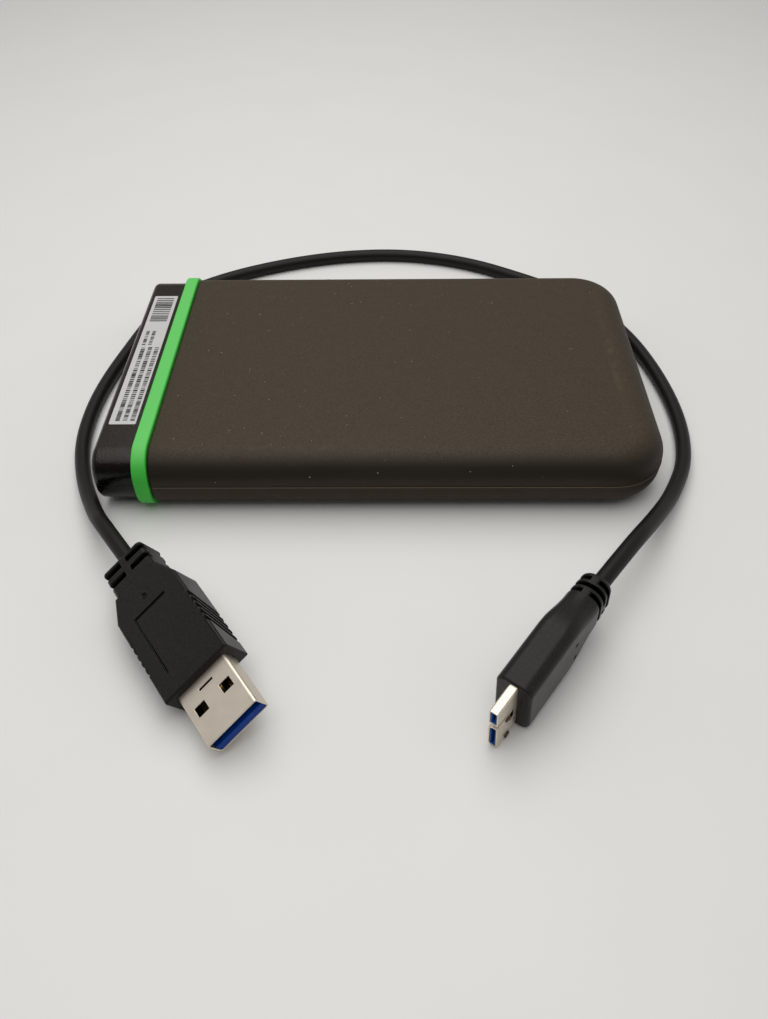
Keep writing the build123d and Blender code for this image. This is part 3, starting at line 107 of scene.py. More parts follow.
# Stainless sheet: brushed along the drive, with 0.15 mm scratches drawn 40 times as long as wide.
stainless_sheet, tree, place = start_material("brushed_stainless_steel")
along = add_node(tree, "ShaderNodeMapping", {"Vector": place, "Scale": (1 / 40, 1, 1)})
scratch = add_node(tree, "ShaderNodeTexNoise", {
    "Vector": along.outputs[0], "Scale": 1000 / 0.15, "Detail": 2})
tint = add_node(tree, "ShaderNodeMix", {0: scratch.outputs[0], 6: linear("#b4b4b5"), 7: linear("#cfcfce")},
                data_type="RGBA")
rough = add_node(tree, "ShaderNodeMapRange", {"Value": scratch.outputs[0], "To Min": 0.22, "To Max": 0.4})
brushed = add_node(tree, "ShaderNodeBump", {
    "Height": scratch.outputs[0], "Strength": 0.25, "Distance": 0.00001})
skin = add_node(tree, "ShaderNodeBsdfPrincipled", {
    "Base Color": tint.outputs[2], "Metallic": 1.0, "Roughness": rough.outputs[0],
    "Normal": brushed.outputs[0]})
add_node(tree, "ShaderNodeOutputMaterial", {"Surface": skin.outputs[0]})
dress(stainless_sheet, "stainless_steel", "hdd_cover", "suspensions", "pivot_post")

# Disc stack: a glass-smooth sputtered disc held on a turned aluminium hub by a turned clamp ring
# and one screw. It spins as one body on the bearing in the base.
spindle = next(joint["pos_m"] for joint in frame["joints"] if joint["name"] == "disc_spin")
wave_pitch = 2 * pi / 20  # rings of a Wave texture are this far apart at a scale of 1

# Turned aluminium: fine lathe rings 0.3 mm apart round the spindle's axis.
machined_aluminium, tree, place = start_material("turned_aluminium")
centred = add_node(tree, "ShaderNodeVectorMath", {0: place, 1: spindle}, operation="SUBTRACT")
rings = add_node(tree, "ShaderNodeTexWave", {
    "Vector": centred.outputs[0], "Scale": wave_pitch * 1000 / 0.3, "Distortion": 0.4, "Detail": 1},
    wave_type="RINGS", rings_direction="Z")
rough = add_node(tree, "ShaderNodeMapRange", {"Value": rings.outputs[1], "To Min": 0.2, "To Max": 0.34})
turned = add_node(tree, "ShaderNodeBump", {
    "Height": rings.outputs[1], "Strength": 0.2, "Distance": 0.00001})
skin = add_node(tree, "ShaderNodeBsdfPrincipled", {
    "Base Color": linear("#d2d3d6"), "Metallic": 1.0, "Roughness": rough.outputs[0],
    "Normal": turned.outputs[0]})
add_node(tree, "ShaderNodeOutputMaterial", {"Surface": skin.outputs[0]})
dress(machined_aluminium, "machined_aluminium",
      "spindle_hub", "disc_clamp", "spindle_bearing", "actuator_arm")

# Sputtered disc: a mirror with barely seen rings of its magnetic layer, 1.5 mm apart.
polished_disc, tree, place = start_material("sputtered_disc")
centred = add_node(tree, "ShaderNodeVectorMath", {0: place, 1: spindle}, operation="SUBTRACT")
rings = add_node(tree, "ShaderNodeTexWave", {
    "Vector": centred.outputs[0], "Scale": wave_pitch * 1000 / 1.5, "Distortion": 0.2},
    wave_type="RINGS", rings_direction="Z")
tint = add_node(tree, "ShaderNodeMix", {0: rings.outputs[1], 6: linear("#d6d6da"), 7: linear("#dedee1")},
                data_type="RGBA")
skin = add_node(tree, "ShaderNodeBsdfPrincipled", {
    "Base Color": tint.outputs[2], "Metallic": 1.0, "Roughness": 0.04})
add_node(tree, "ShaderNodeOutputMaterial", {"Surface": skin.outputs[0]})
dress(polished_disc, "polished_disc", "platter")

# Motor and actuator: copper windings on the stator and the arm's coil, nickel-plated yokes and magnet,
# and the moulded acetal ramp that the heads park on.

# Enamelled copper wire: round turns 0.35 mm apart under a clear amber varnish. Diagonal bands lie 1.4 times
# as far apart as rings, hence the 0.25.
copper_winding, tree, place = start_material("enamelled_copper_wire")
turns = add_node(tree, "ShaderNodeTexWave", {
    "Vector": place, "Scale": wave_pitch * 1000 / 0.25, "Distortion": 0.6}, bands_direction="DIAGONAL")
tint = add_node(tree, "ShaderNodeMix", {0: turns.outputs[1], 6: linear("#7c3a18"), 7: linear("#c9773f")},
                data_type="RGBA")
round_wire = add_node(tree, "ShaderNodeBump", {
    "Height": turns.outputs[1], "Strength": 0.6, "Distance": 0.00006})
skin = add_node(tree, "ShaderNodeBsdfPrincipled", {
    "Base Color": tint.outputs[2], "Metallic": 1.0, "Roughness": 0.3, "Normal": round_wire.outputs[0],
    "Coat Weight": 0.5, "Coat Roughness": 0.15})
add_node(tree, "ShaderNodeOutputMaterial", {"Surface": skin.outputs[0]})
dress(copper_winding, "copper_winding", "spindle_stator", "voice_coil")

# Nickel plate: a warm silver skin over pressed sheet, satin, with faint 3 mm clouds from handling.
nickel_plate, tree, place = start_material("nickel_plated_steel")
clouds = add_node(tree, "ShaderNodeTexNoise", {"Vector": place, "Scale": 1000 / 3, "Detail": 4})
tint = add_node(tree, "ShaderNodeMix", {0: clouds.outputs[0], 6: linear("#d6ccbe"), 7: linear("#e6ddd0")},
                data_type="RGBA")
rough = add_node(tree, "ShaderNodeMapRange", {"Value": clouds.outputs[0], "To Min": 0.38, "To Max": 0.52})
skin = add_node(tree, "ShaderNodeBsdfPrincipled", {
    "Base Color": tint.outputs[2], "Metallic": 1.0, "Roughness": rough.outputs[0]})
add_node(tree, "ShaderNodeOutputMaterial", {"Surface": skin.outputs[0]})
dress(nickel_plate, "nickel_plate", "magnet_yokes", "magnet")

# Acetal: a milky, slightly waxy white with soft 4 mm flow marks.
ramp_acetal, tree, place = start_material("natural_acetal")
flow = add_node(tree, "ShaderNodeTexNoise", {"Vector": place, "Scale": 1000 / 4, "Detail": 2})
tint = add_node(tree, "ShaderNodeMix", {0: flow.outputs[0], 6: linear("#d9d3c4"), 7: linear("#e6e1d4")},
                data_type="RGBA")
skin = add_node(tree, "ShaderNodeBsdfPrincipled", {
    "Base Color": tint.outputs[2], "Roughness": 0.35, "IOR": 1.48})
add_node(tree, "ShaderNodeOutputMaterial", {"Surface": skin.outputs[0]})
dress(ramp_acetal, "ramp_acetal", "ramp")

# Circuit boards: glass-epoxy board under solder mask, one below the drive unit and one behind the port,
# with black epoxy chips, a black connector pair between them and gold-plated pins.

# Solder mask: glossy green, with 0.8 mm copper tracks that show through as a lighter, raised pattern.
circuit_board, tree, place = start_material("solder_masked_board")
tracks = add_node(tree, "ShaderNodeTexBrick", {
    "Vector": place, "Scale": 1000 / 0.8 / 4, "Mortar Size": 0.12, "Mortar Smooth": 0.2,
    "Color1": (1, 1, 1, 1), "Color2": (1, 1, 1, 1), "Mortar": (0, 0, 0, 1)}, offset=0.5)
tint = add_node(tree, "ShaderNodeMix", {0: tracks.outputs[1], 6: linear("#1b6a3c"), 7: linear("#12492a")},
                data_type="RGBA")
raised = add_node(tree, "ShaderNodeBump", {
    "Height": tracks.outputs[1], "Strength": 0.4, "Distance": 0.00003}, invert=True)
skin = add_node(tree, "ShaderNodeBsdfPrincipled", {
    "Base Color": tint.outputs[2], "Roughness": 0.3, "IOR": 1.52, "Normal": raised.outputs[0]})
add_node(tree, "ShaderNodeOutputMaterial", {"Surface": skin.outputs[0]})
dress(circuit_board, "circuit_board", "hdd_board", "bridge_board")

# Moulding epoxy: charcoal with a sanded 0.2 mm grain.
chip_epoxy, tree, place = start_material("moulding_epoxy")
grain = add_node(tree, "ShaderNodeTexNoise", {"Vector": place, "Scale": 1000 / 0.2, "Detail": 2})
tint = add_node(tree, "ShaderNodeMix", {0: grain.outputs[0], 6: linear("#202021"), 7: linear("#353536")},
                data_type="RGBA")
sanded = add_node(tree, "ShaderNodeBump", {
    "Height": grain.outputs[0], "Strength": 0.3, "Distance": 0.00002})
skin = add_node(tree, "ShaderNodeBsdfPrincipled", {
    "Base Color": tint.outputs[2], "Roughness": 0.6, "Normal": sanded.outputs[0]})
add_node(tree, "ShaderNodeOutputMaterial", {"Surface": skin.outputs[0]})
dress(chip_epoxy, "chip_epoxy", "board_chips", "bridge_chips", "head_sliders")

# Glass-filled nylon: black connector bodies with a fine 0.4 mm fibre mottle.
black_insulator, tree, place = start_material("glass_filled_nylon")
fibre = add_node(tree, "ShaderNodeTexNoise", {"Vector": place, "Scale": 1000 / 0.4, "Detail": 3})
tint = add_node(tree, "ShaderNodeMix", {0: fibre.outputs[0], 6: linear("#161617"), 7: linear("#242425")},
                data_type="RGBA")
rough = add_node(tree, "ShaderNodeMapRange", {"Value": fibre.outputs[0], "To Min": 0.35, "To Max": 0.5})
skin = add_node(tree, "ShaderNodeBsdfPrincipled", {
    "Base Color": tint.outputs[2], "Roughness": rough.outputs[0], "IOR": 1.53})
add_node(tree, "ShaderNodeOutputMaterial", {"Surface": skin.outputs[0]})
dress(black_insulator, "black_insulator", "sata_plug", "sata_socket", "port_tongue")

# Gold plate: contact springs, bright in 1.2 mm patches that are wiped and duller between them.
gold_plate, tree, place = start_material("gold_plated_contact")
wiped = add_node(tree, "ShaderNodeTexNoise", {"Vector": place, "Scale": 1000 / 1.2, "Detail": 2})
rough = add_node(tree, "ShaderNodeMapRange", {"Value": wiped.outputs[0], "To Min": 0.15, "To Max": 0.35})
skin = add_node(tree, "ShaderNodeBsdfPrincipled", {
    "Base Color": linear("#dfb65c"), "Metallic": 1.0, "Roughness": rough.outputs[0]})
add_node(tree, "ShaderNodeOutputMaterial", {"Surface": skin.outputs[0]})
dress(gold_plate, "gold_plate", "port_contacts", "usb_a_contacts", "micro_b_contacts")

# Screws and corner bumpers: zinc-plated steel screws hold the covers, boards and case halves,
# and four moulded rubber corners hold the drive unit in the case.

# Zinc plate: cool grey with a faint 1.5 mm mottle of the chromate dip.
screw_steel, tree, place = start_material("zinc_plated_steel")
mottle = add_node(tree, "ShaderNodeTexNoise", {"Vector": place, "Scale": 1000 / 1.5, "Detail": 3})
tint = add_node(tree, "ShaderNodeMix", {0: mottle.outputs[0], 6: linear("#8f9194"), 7: linear("#aaabac")},
                data_type="RGBA")
rough = add_node(tree, "ShaderNodeMapRange", {"Value": mottle.outputs[0], "To Min": 0.28, "To Max": 0.45})
skin = add_node(tree, "ShaderNodeBsdfPrincipled", {
    "Base Color": tint.outputs[2], "Metallic": 1.0, "Roughness": rough.outputs[0]})
add_node(tree, "ShaderNodeOutputMaterial", {"Surface": skin.outputs[0]})
dress(screw_steel, "screw_steel",
      "cover_screws", "board_screws", "bridge_screws", "case_screws", "clamp_screw")

# Rubber: matt black with a soft 0.6 mm mould texture.
bumper_rubber, tree, place = start_material("moulded_nitrile_rubber")
texture = add_node(tree, "ShaderNodeTexNoise", {"Vector": place, "Scale": 1000 / 0.6, "Detail": 2})
tint = add_node(tree, "ShaderNodeMix", {0: texture.outputs[0], 6: linear("#1d1d1d"), 7: linear("#2b2b2a")},
                data_type="RGBA")
soft = add_node(tree, "ShaderNodeBump", {
    "Height": texture.outputs[0], "Strength": 0.4, "Distance": 0.00004})
skin = add_node(tree, "ShaderNodeBsdfPrincipled", {
    "Base Color": tint.outputs[2], "Roughness": 0.75, "Normal": soft.outputs[0]})
add_node(tree, "ShaderNodeOutputMaterial", {"Surface": skin.outputs[0]})
dress(bumper_rubber, "bumper_rubber", "hdd_bumpers")

# Case: two moulded ABS halves that meet at mid-height. Only the cap at the port end shows past the band,
# in satin black with a spark-eroded grain.


def new_object(name, data):
    """An object in the scene that shows this mesh, curve, lamp or camera."""
    item = bpy.data.objects.new(name, data)
    bpy.context.scene.collection.objects.link(item)
    return item


def worked_piece(name, work, sharp_from=None):
    """An object made of worked faces, smooth but for edges that turn by more than sharp_from."""
    mesh = bpy.data.meshes.new(name)
    work.to_mesh(mesh)
    work.free()
    mesh.shade_smooth()
    if sharp_from:
        mesh.set_sharp_from_angle(angle=sharp_from)
    return new_object(name, mesh)


def moulded_copy(name, edge, material):
    """Stands for a CAD node: its merged copy with corners rounded by edge metres and smooth curves."""
    same_point, same_face, corner_from = 2e-6, radians(0.4), radians(32)
    work = bmesh.new()
    work.from_mesh(frame["nodes"][name].data)
    bmesh.ops.remove_doubles(work, verts=work.verts, dist=same_point)
    bmesh.ops.dissolve_limit(work, angle_limit=same_face, verts=work.verts, edges=work.edges)
    piece = worked_piece(name + "_moulded", work, corner_from)
    piece.data.materials.append(material)
    corner = piece.modifiers.new("corner", "BEVEL")
    corner.width = edge
    corner.segments = 2
    corner.limit_method = "ANGLE"
    corner.angle_limit = corner_from
    corner.use_clamp_overlap = False
    flat = piece.modifiers.new("flat_faces", "WEIGHTED_NORMAL")
    flat.keep_sharp = True
    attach(piece, "case")
    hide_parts(name)
    return piece


# ABS: black, browned by a film of dust and painted light where it faces up; the walls are painted near
# black, which is painted shade. The grains of its spark-eroded skin differ in polish, so the shoulder
# glitters; they are finer than a pixel of the photograph and drawn 0.34 mm wide.
case_abs, tree, place = start_material("spark_grained_abs")
pits = add_node(tree, "ShaderNodeTexVoronoi", {"Vector": place, "Scale": 1000 / 0.34})
wipe = add_node(tree, "ShaderNodeTexNoise", {"Vector": place, "Scale": 1000 / 9, "Detail": 3})
upright = add_node(tree, "ShaderNodeSeparateXYZ", {0: place.node.outputs["Normal"]})
top_dust_and_light = add_node(tree, "ShaderNodeMapRange", {"Value": upright.outputs[2], "From Min": 0.4, "From Max": 1.0})
dust_and_light_on_top = add_node(tree, "ShaderNodeMix", {0: wipe.outputs[0], 6: linear("#150d09"), 7: linear("#1d140d")},
                 data_type="RGBA")
# Painted shade: faces that do not look up get near-black #030303; the top gets the dusty brown as dust and painted
# light.
tint = add_node(tree, "ShaderNodeMix", {0: top_dust_and_light.outputs[0], 6: linear("#030303"), 7: dust_and_light_on_top.outputs[2]},
                data_type="RGBA")
rough = add_node(tree, "ShaderNodeMapRange", {"Value": pits.outputs[1], "To Min": 0.08, "To Max": 0.3})
eroded = add_node(tree, "ShaderNodeBump", {"Height": pits.outputs[0], "Strength": 0.5, "Distance": 0.00006})
skin = add_node(tree, "ShaderNodeBsdfPrincipled", {
    "Base Color": tint.outputs[2], "Roughness": rough.outputs[0], "IOR": 1.53, "Normal": eroded.outputs[0],
    "Specular IOR Level": 0.26})
add_node(tree, "ShaderNodeOutputMaterial", {"Surface": skin.outputs[0]})
moulded_copy("case_upper", 0.00008, case_abs)
moulded_copy("case_lower", 0.00008, case_abs)

# Port and light: a folded stainless shell round the socket's tongue, soldered to the bridge board,
# and a clear pipe that brings the lamp's light to a hole in the cap.
moulded_copy("port_shell", 0.00004, stainless_sheet)

# Polycarbonate: clear, with a slightly frosted moulded end.
clear_polycarbonate, tree, place = start_material("clear_polycarbonate")
frost = add_node(tree, "ShaderNodeTexNoise", {"Vector": place, "Scale": 1000 / 0.3, "Detail": 2})
rough = add_node(tree, "ShaderNodeMapRange", {"Value": frost.outputs[0], "To Min": 0.12, "To Max": 0.3})
skin = add_node(tree, "ShaderNodeBsdfPrincipled", {
    "Base Color": linear("#e9eceb"), "Roughness": rough.outputs[0], "IOR": 1.585,
    "Transmission Weight": 0.8})
add_node(tree, "ShaderNodeOutputMaterial", {"Surface": skin.outputs[0]})
dress(clear_polycarbonate, "clear_polycarbonate", "light_pipe", "led")

# Band: a ring of green silicone, moulded in one piece and stretched round the case between cap and sleeve.
# Its outer edges are rounded, and it stands a little proud of both.
band_low, band_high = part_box("band")
band_corner = 0.0069
band_deep = 0.00218
band_edge = 0.00045
band_steps = 8
band_sharp_from = radians(40)
middle = (band_low.z + band_high.z) / 2


def rounded_outline(wide, high, corner, steps=14):
    """Points of a rounded rectangle round the drive's long axis, as Y and Z."""
    points = []
    for quarter, (side, top) in enumerate(((1, 1), (-1, 1), (-1, -1), (1, -1))):
        for step in range(steps + 1):
            turn = (quarter + step / steps) * pi / 2
            points.append((side * (wide / 2 - corner) + corner * cos(turn),
                           middle + top * (high / 2 - corner) + corner * sin(turn)))
    return points


def join_rings(work, rings):
    """Faces between each closed ring of points and the next."""
    for ring, following in zip(rings, rings[1:]):
        for i, corner in enumerate(ring):
            j = (i + 1) % len(ring)
            work.faces.new((corner, ring[j], following[j], following[i]))


turns = [step / band_steps * pi / 2 for step in range(band_steps + 1)]
profile = [(band_deep, band_high.x)]
profile += [(band_edge * (1 - sin(turn)), band_high.x - band_edge * (1 - cos(turn))) for turn in turns]
profile += [(band_edge * (1 - cos(turn)), band_low.x + band_edge * (1 - sin(turn))) for turn in turns]
profile.append((band_deep, band_low.x))
work = bmesh.new()
rings = []
for inset, x in profile:
    outline = rounded_outline(band_high.y - band_low.y - 2 * inset, band_high.z - band_low.z - 2 * inset,
                              band_corner - inset)
    rings.append([work.verts.new((x, y, z)) for y, z in outline])
join_rings(work, rings + rings[:1])
bmesh.ops.recalc_face_normals(work, faces=work.faces)
band = worked_piece("band_ring", work, band_sharp_from)

# Green silicone: clear mid green with a soft satin face, 5 mm clouds of bloom and a 0.4 mm moulded grain.
# A film of dust and a painted sheen pale the face that looks up.
green_silicone, tree, place = start_material("green_silicone")
bloom = add_node(tree, "ShaderNodeTexNoise", {"Vector": place, "Scale": 1000 / 5, "Detail": 3})
grain = add_node(tree, "ShaderNodeTexNoise", {"Vector": place, "Scale": 1000 / 0.4, "Detail": 2})
clean = add_node(tree, "ShaderNodeMix", {0: bloom.outputs[0], 6: linear("#3fbb40"), 7: linear("#49c54a")},
                 data_type="RGBA")
upright = add_node(tree, "ShaderNodeSeparateXYZ", {0: place.node.outputs["Normal"]})
top_dust_and_light = add_node(tree, "ShaderNodeMapRange", {"Value": upright.outputs[2], "From Min": 0.5, "From Max": 1.0})
# Dust and painted sheen: the face that looks up is mixed towards pale green #61c662.
tint = add_node(tree, "ShaderNodeMix", {0: top_dust_and_light.outputs[0], 6: clean.outputs[2], 7: linear("#61c662")},
                data_type="RGBA")
rough = add_node(tree, "ShaderNodeMapRange", {"Value": bloom.outputs[0], "To Min": 0.38, "To Max": 0.52})
satin = add_node(tree, "ShaderNodeBump", {"Height": grain.outputs[0], "Strength": 0.2, "Distance": 0.00002})
skin = add_node(tree, "ShaderNodeBsdfPrincipled", {
    "Base Color": tint.outputs[2], "Roughness": rough.outputs[0], "IOR": 1.43, "Normal": satin.outputs[0],
    "Specular IOR Level": 0.3})
add_node(tree, "ShaderNodeOutputMaterial", {"Surface": skin.outputs[0]})
band.data.materials.append(green_silicone)
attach(band, "case")
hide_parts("band")

# Sleeve: one soft silicone moulding that is pulled over the closed end of the case up to the band.
# Its two mould halves met at mid-height and left a fine raised line round it.
sleeve_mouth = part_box("sleeve")[0].x
sleeve_lip = 0.0004
sleeve_outside = {"half_wide": 0.04057, "end": 0.06463, "corner": 0.0124}
sleeve_inside = {"half_wide": 0.03902, "end": 0.06308, "corner": 0.01085}
outside_round = {"low": 0.00063, "high": 0.01567, "edge": 0.00626}
inside_round = {"low": 0.00218, "high": 0.01412, "edge": 0.00471}
# Points of the mould line, as height over mid-height and reach out of the wall, and of the lip's round, as
# shares of the wall's thickness and of the lip's reach.
seam_line = ((0.0004, 0), (0.00016, 0), (0.0001, 0.0001), (0.00004, 0.00012), (-0.00008, 0.0001),
             (-0.0003, 0.00003), (-0.0006, 0))
lip_round = ((0.03, 0.5), (0.12, 0.87), (0.26, 1.0), (0.74, 1.0), (0.88, 0.87), (0.97, 0.5))
side_steps, corner_steps, end_steps, edge_steps = 14, 18, 14, 14


def wall_profile(low, high, edge, seam):
    """Inset and height of the wall's points from the top face round the side to the bottom face."""
    turns = [step / edge_steps * pi / 2 for step in range(edge_steps + 1)]
    points = [(edge * (1 - sin(turn)), high - edge * (1 - cos(turn))) for turn in turns]
    points += [(-out, middle + rise) for rise, out in seam]
    return points + [(edge * (1 - cos(turn)), low + edge * (1 - sin(turn))) for turn in turns]


def plan_path(half_wide, end, corner, inset):
    """Outline from above, from the mouth along one side, round the closed end and back."""
    start, stop = sleeve_mouth + sleeve_lip, end - corner
    half = [(start + (stop - start) * step / side_steps, -(half_wide - inset))
            for step in range(side_steps)]
    for step in range(corner_steps + 1):
        turn = step / corner_steps * pi / 2
        half.append((stop + (corner - inset) * sin(turn),
                     -(half_wide - corner) - (corner - inset) * cos(turn)))
    across = [(end - inset, (half_wide - corner) * (2 * step / end_steps - 1))
              for step in range(1, end_steps)]
    return half + across + [(x, -y) for x, y in reversed(half)]


def sleeve_wall(work, plan, profile):
    """One face of the sleeve, inner or outer; returns the loop of points at its mouth."""
    rings = [[work.verts.new((x, y, z)) for x, y in plan_path(inset=inset, **plan)] for inset, z in profile]
    for ring, lower in zip(rings, rings[1:]):
        for i in range(len(ring) - 1):
            work.faces.new((ring[i], lower[i], lower[i + 1], ring[i + 1]))
    mouths = []
    for ring in (rings[0], rings[-1]):
        last = side_steps + corner_steps
        rows = []
        for i in range(last):
            left, right = ring[i], ring[-1 - i]
            inner = [work.verts.new(left.co.lerp(right.co, step / end_steps))
                     for step in range(1, end_steps)]
            rows.append([left] + inner + [right])
        rows.append(ring[last:last + end_steps + 1])
        for row, following in zip(rows, rows[1:]):
            for i in range(end_steps):
                work.faces.new((row[i], row[i + 1], following[i + 1], following[i]))
        mouths.append(rows[0])
    right_side = [ring[-1] for ring in rings[1:-1]]
    left_side = [ring[0] for ring in rings[-2:0:-1]]
    return mouths[0] + right_side + mouths[1][::-1] + left_side


work = bmesh.new()
outer_mouth = sleeve_wall(work, sleeve_outside, wall_profile(seam=seam_line, **outside_round))
plain_seam = [(rise, 0) for rise, out in seam_line]
inner_mouth = sleeve_wall(work, sleeve_inside, wall_profile(seam=plain_seam, **inside_round))
lip_loops = [outer_mouth]
for across, out in lip_round:
    loop = []
    for outer, inner in zip(outer_mouth, inner_mouth):
        spot = outer.co.lerp(inner.co, across)
        spot.x -= sleeve_lip * out
        loop.append(work.verts.new(spot))
    lip_loops.append(loop)
join_rings(work, lip_loops + [inner_mouth])
bmesh.ops.recalc_face_normals(work, faces=work.faces)
# Short upright split line of the mould's side slide, under the parting line near the front corner.
slide_x, slide_half_wide, slide_foot = 0.0519, 0.00022, 0.0012
slide_high, slide_sunk = 0.00009, 0.00002
wall = [(inset, z) for inset, z in wall_profile(seam=(), **outside_round) if slide_foot < z < middle]
strip = []
for inset, z in wall:
    y = -(sleeve_outside["half_wide"] - inset)
    strip.append([work.verts.new((slide_x + side * slide_half_wide, y - out, z))
                  for side, out in ((-1, -slide_sunk), (0, slide_high), (1, -slide_sunk))])
for row, following in zip(strip, strip[1:]):
    for i in range(2):
        work.faces.new((row[i], following[i], following[i + 1], row[i + 1]))
sleeve = worked_piece("sleeve_shell", work)

# Olive-brown silicone: matt, with 22 mm handling clouds and 3 mm finger marks that dull or polish it.
# A film of dust and a painted sheen pale the face that looks up, with a painted highlight along the
# crease over the case's end. Painted light from the table pales the walls that face sideways and down,
# which leaves the shoulders between them darker as painted shade, and a painted highlight runs along
# the parting line. The real grain is finer than a pixel of the photograph; it is drawn 0.45 mm wide.
crease_highlight_place, crease_highlight_reach = (0.0567, -0.001, 0.0157), (0.0013, 0.034, 0.01)
sleeve_silicone, tree, place = start_material("olive_silicone")
clouds = add_node(tree, "ShaderNodeTexNoise", {"Vector": place, "Scale": 1000 / 22, "Detail": 4})
marks = add_node(tree, "ShaderNodeTexNoise", {
    "Vector": place, "Scale": 1000 / 3, "Detail": 5, "Roughness": 0.65})
grain = add_node(tree, "ShaderNodeTexNoise", {"Vector": place, "Scale": 1000 / 0.45, "Detail": 2})
tint = add_node(tree, "ShaderNodeMix", {0: clouds.outputs[0], 6: linear("#1c150d"), 7: linear("#231b10")},
                data_type="RGBA")
upright = add_node(tree, "ShaderNodeSeparateXYZ", {0: place.node.outputs["Normal"]})
top_dust_and_light = add_node(tree, "ShaderNodeMapRange", {"Value": upright.outputs[2], "From Min": 0.6, "From Max": 1.0})
mottled = add_node(tree, "ShaderNodeMix", {0: grain.outputs[0], 6: linear("#18130c"), 7: linear("#4b3f2c")},
                   data_type="RGBA")
# Painted highlight: a faint paler streak along the crease over the case's end, broken up by the marks.
over_end = add_node(tree, "ShaderNodeMapping", {
    "Vector": place, "Location": crease_highlight_place, "Rotation": (0, 0, radians(-1)),
    "Scale": crease_highlight_reach}, vector_type="TEXTURE")
crease_highlight = add_node(tree, "ShaderNodeTexGradient", {"Vector": over_end.outputs[0]}, gradient_type="SPHERICAL")
patchy = add_node(tree, "ShaderNodeMapRange", {
    "Value": marks.outputs[0], "From Min": 0.42, "From Max": 0.72, "To Max": 0.8})
crease_highlight_share = add_node(tree, "ShaderNodeMath", {
    0: crease_highlight.outputs[1], 1: patchy.outputs[0]}, operation="MULTIPLY")
crease_highlighted = add_node(tree, "ShaderNodeMix", {
    0: crease_highlight_share.outputs[0], 6: mottled.outputs[2], 7: linear("#544939")}, data_type="RGBA")
# Dust and painted sheen: the face that looks up takes the paler grained colour.
dust_and_light_on_top = add_node(tree, "ShaderNodeMix", {0: top_dust_and_light.outputs[0], 6: tint.outputs[2], 7: crease_highlighted.outputs[2]},
                 data_type="RGBA")
# Painted light from the table: walls that face sideways and down are mixed towards a paler brown #312418.
table_lit_walls = add_node(tree, "ShaderNodeMapRange", {
    "Value": upright.outputs[2], "From Min": 0.25, "From Max": -0.1})
walls_painted_table_light = add_node(tree, "ShaderNodeMix", {0: table_lit_walls.outputs[0], 6: dust_and_light_on_top.outputs[2], 7: linear("#312418")},
                  data_type="RGBA")
level = add_node(tree, "ShaderNodeSeparateXYZ", {0: place})
# Painted highlight: a thin paler line #6a5a48 along the parting line at mid-height.
parting_highlight_mask = add_node(tree, "ShaderNodeMath", {0: level.outputs[2], 1: middle, 2: 0.0001}, operation="COMPARE")
parting_highlighted = add_node(tree, "ShaderNodeMix", {0: parting_highlight_mask.outputs[0], 6: walls_painted_table_light.outputs[2], 7: linear("#6a5a48")},
                 data_type="RGBA")
rough = add_node(tree, "ShaderNodeMapRange", {"Value": marks.outputs[0], "To Min": 0.5, "To Max": 0.68})
moulded = add_node(tree, "ShaderNodeBump", {
    "Height": grain.outputs[0], "Strength": 0.25, "Distance": 0.00003})
skin = add_node(tree, "ShaderNodeBsdfPrincipled", {
    "Base Color": parting_highlighted.outputs[2], "Roughness": rough.outputs[0], "IOR": 1.41,
    "Normal": moulded.outputs[0], "Specular IOR Level": 0.4})
add_node(tree, "ShaderNodeOutputMaterial", {"Surface": skin.outputs[0]})
sleeve.data.materials.append(sleeve_silicone)
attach(sleeve, "case")
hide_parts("sleeve")

# Dust: pale specks and a few short fibres that cling to the soft sleeve, as on any handled silicone.
# They lie in patches on its top face and shoulders, more at the port end.

# Household dust: dull off-white, a little darker in 0.2 mm blotches.
dust, tree, place = start_material("household_dust")
blotch = add_node(tree, "ShaderNodeTexNoise", {"Vector": place, "Scale": 1000 / 0.2})
tint = add_node(tree, "ShaderNodeMix", {0: blotch.outputs[0], 6: linear("#7d776c"), 7: linear("#b5b0a6")},
                data_type="RGBA")
skin = add_node(tree, "ShaderNodeBsdfPrincipled", {"Base Color": tint.outputs[2], "Roughness": 0.9})
add_node(tree, "ShaderNodeOutputMaterial", {"Surface": skin.outputs[0]})

settled = bpy.data.node_groups.new("settled_dust", "GeometryNodeTree")
settled.interface.new_socket("Sleeve", in_out="INPUT", socket_type="NodeSocketObject")
dust_sizes = {"Speck Density": 90000.0, "Speck Size": 0.00016,
              "Fibre Density": 1800.0, "Fibre Length": 0.0009}
lowest_dust, least_upward = 0.0086, 0.03
for name in dust_sizes:
    settled.interface.new_socket(name, in_out="INPUT", socket_type="NodeSocketFloat")
settled.interface.new_socket("Geometry", in_out="OUTPUT", socket_type="NodeSocketGeometry")
sizes = add_node(settled, "NodeGroupInput", {})
surface = add_node(settled, "GeometryNodeObjectInfo", {"Object": sizes.outputs["Sleeve"]})
facing = add_node(settled, "GeometryNodeInputNormal", {})
facing_up = add_node(settled, "ShaderNodeSeparateXYZ", {0: facing.outputs[0]})
spot = add_node(settled, "GeometryNodeInputPosition", {})
spot_parts = add_node(settled, "ShaderNodeSeparateXYZ", {0: spot.outputs[0]})
outside = add_node(settled, "FunctionNodeCompare", {
    0: spot_parts.outputs[2], 1: lowest_dust}, operation="GREATER_THAN")
upward = add_node(settled, "FunctionNodeCompare", {
    0: facing_up.outputs[2], 1: least_upward}, operation="GREATER_THAN")
catching = add_node(settled, "FunctionNodeBooleanMath", {0: outside.outputs[0], 1: upward.outputs[0]})
thinner = add_node(settled, "ShaderNodeMapRange", {
    "Value": spot_parts.outputs[0], "From Min": -0.05, "From Max": 0.06, "To Min": 1.0, "To Max": 0.2})
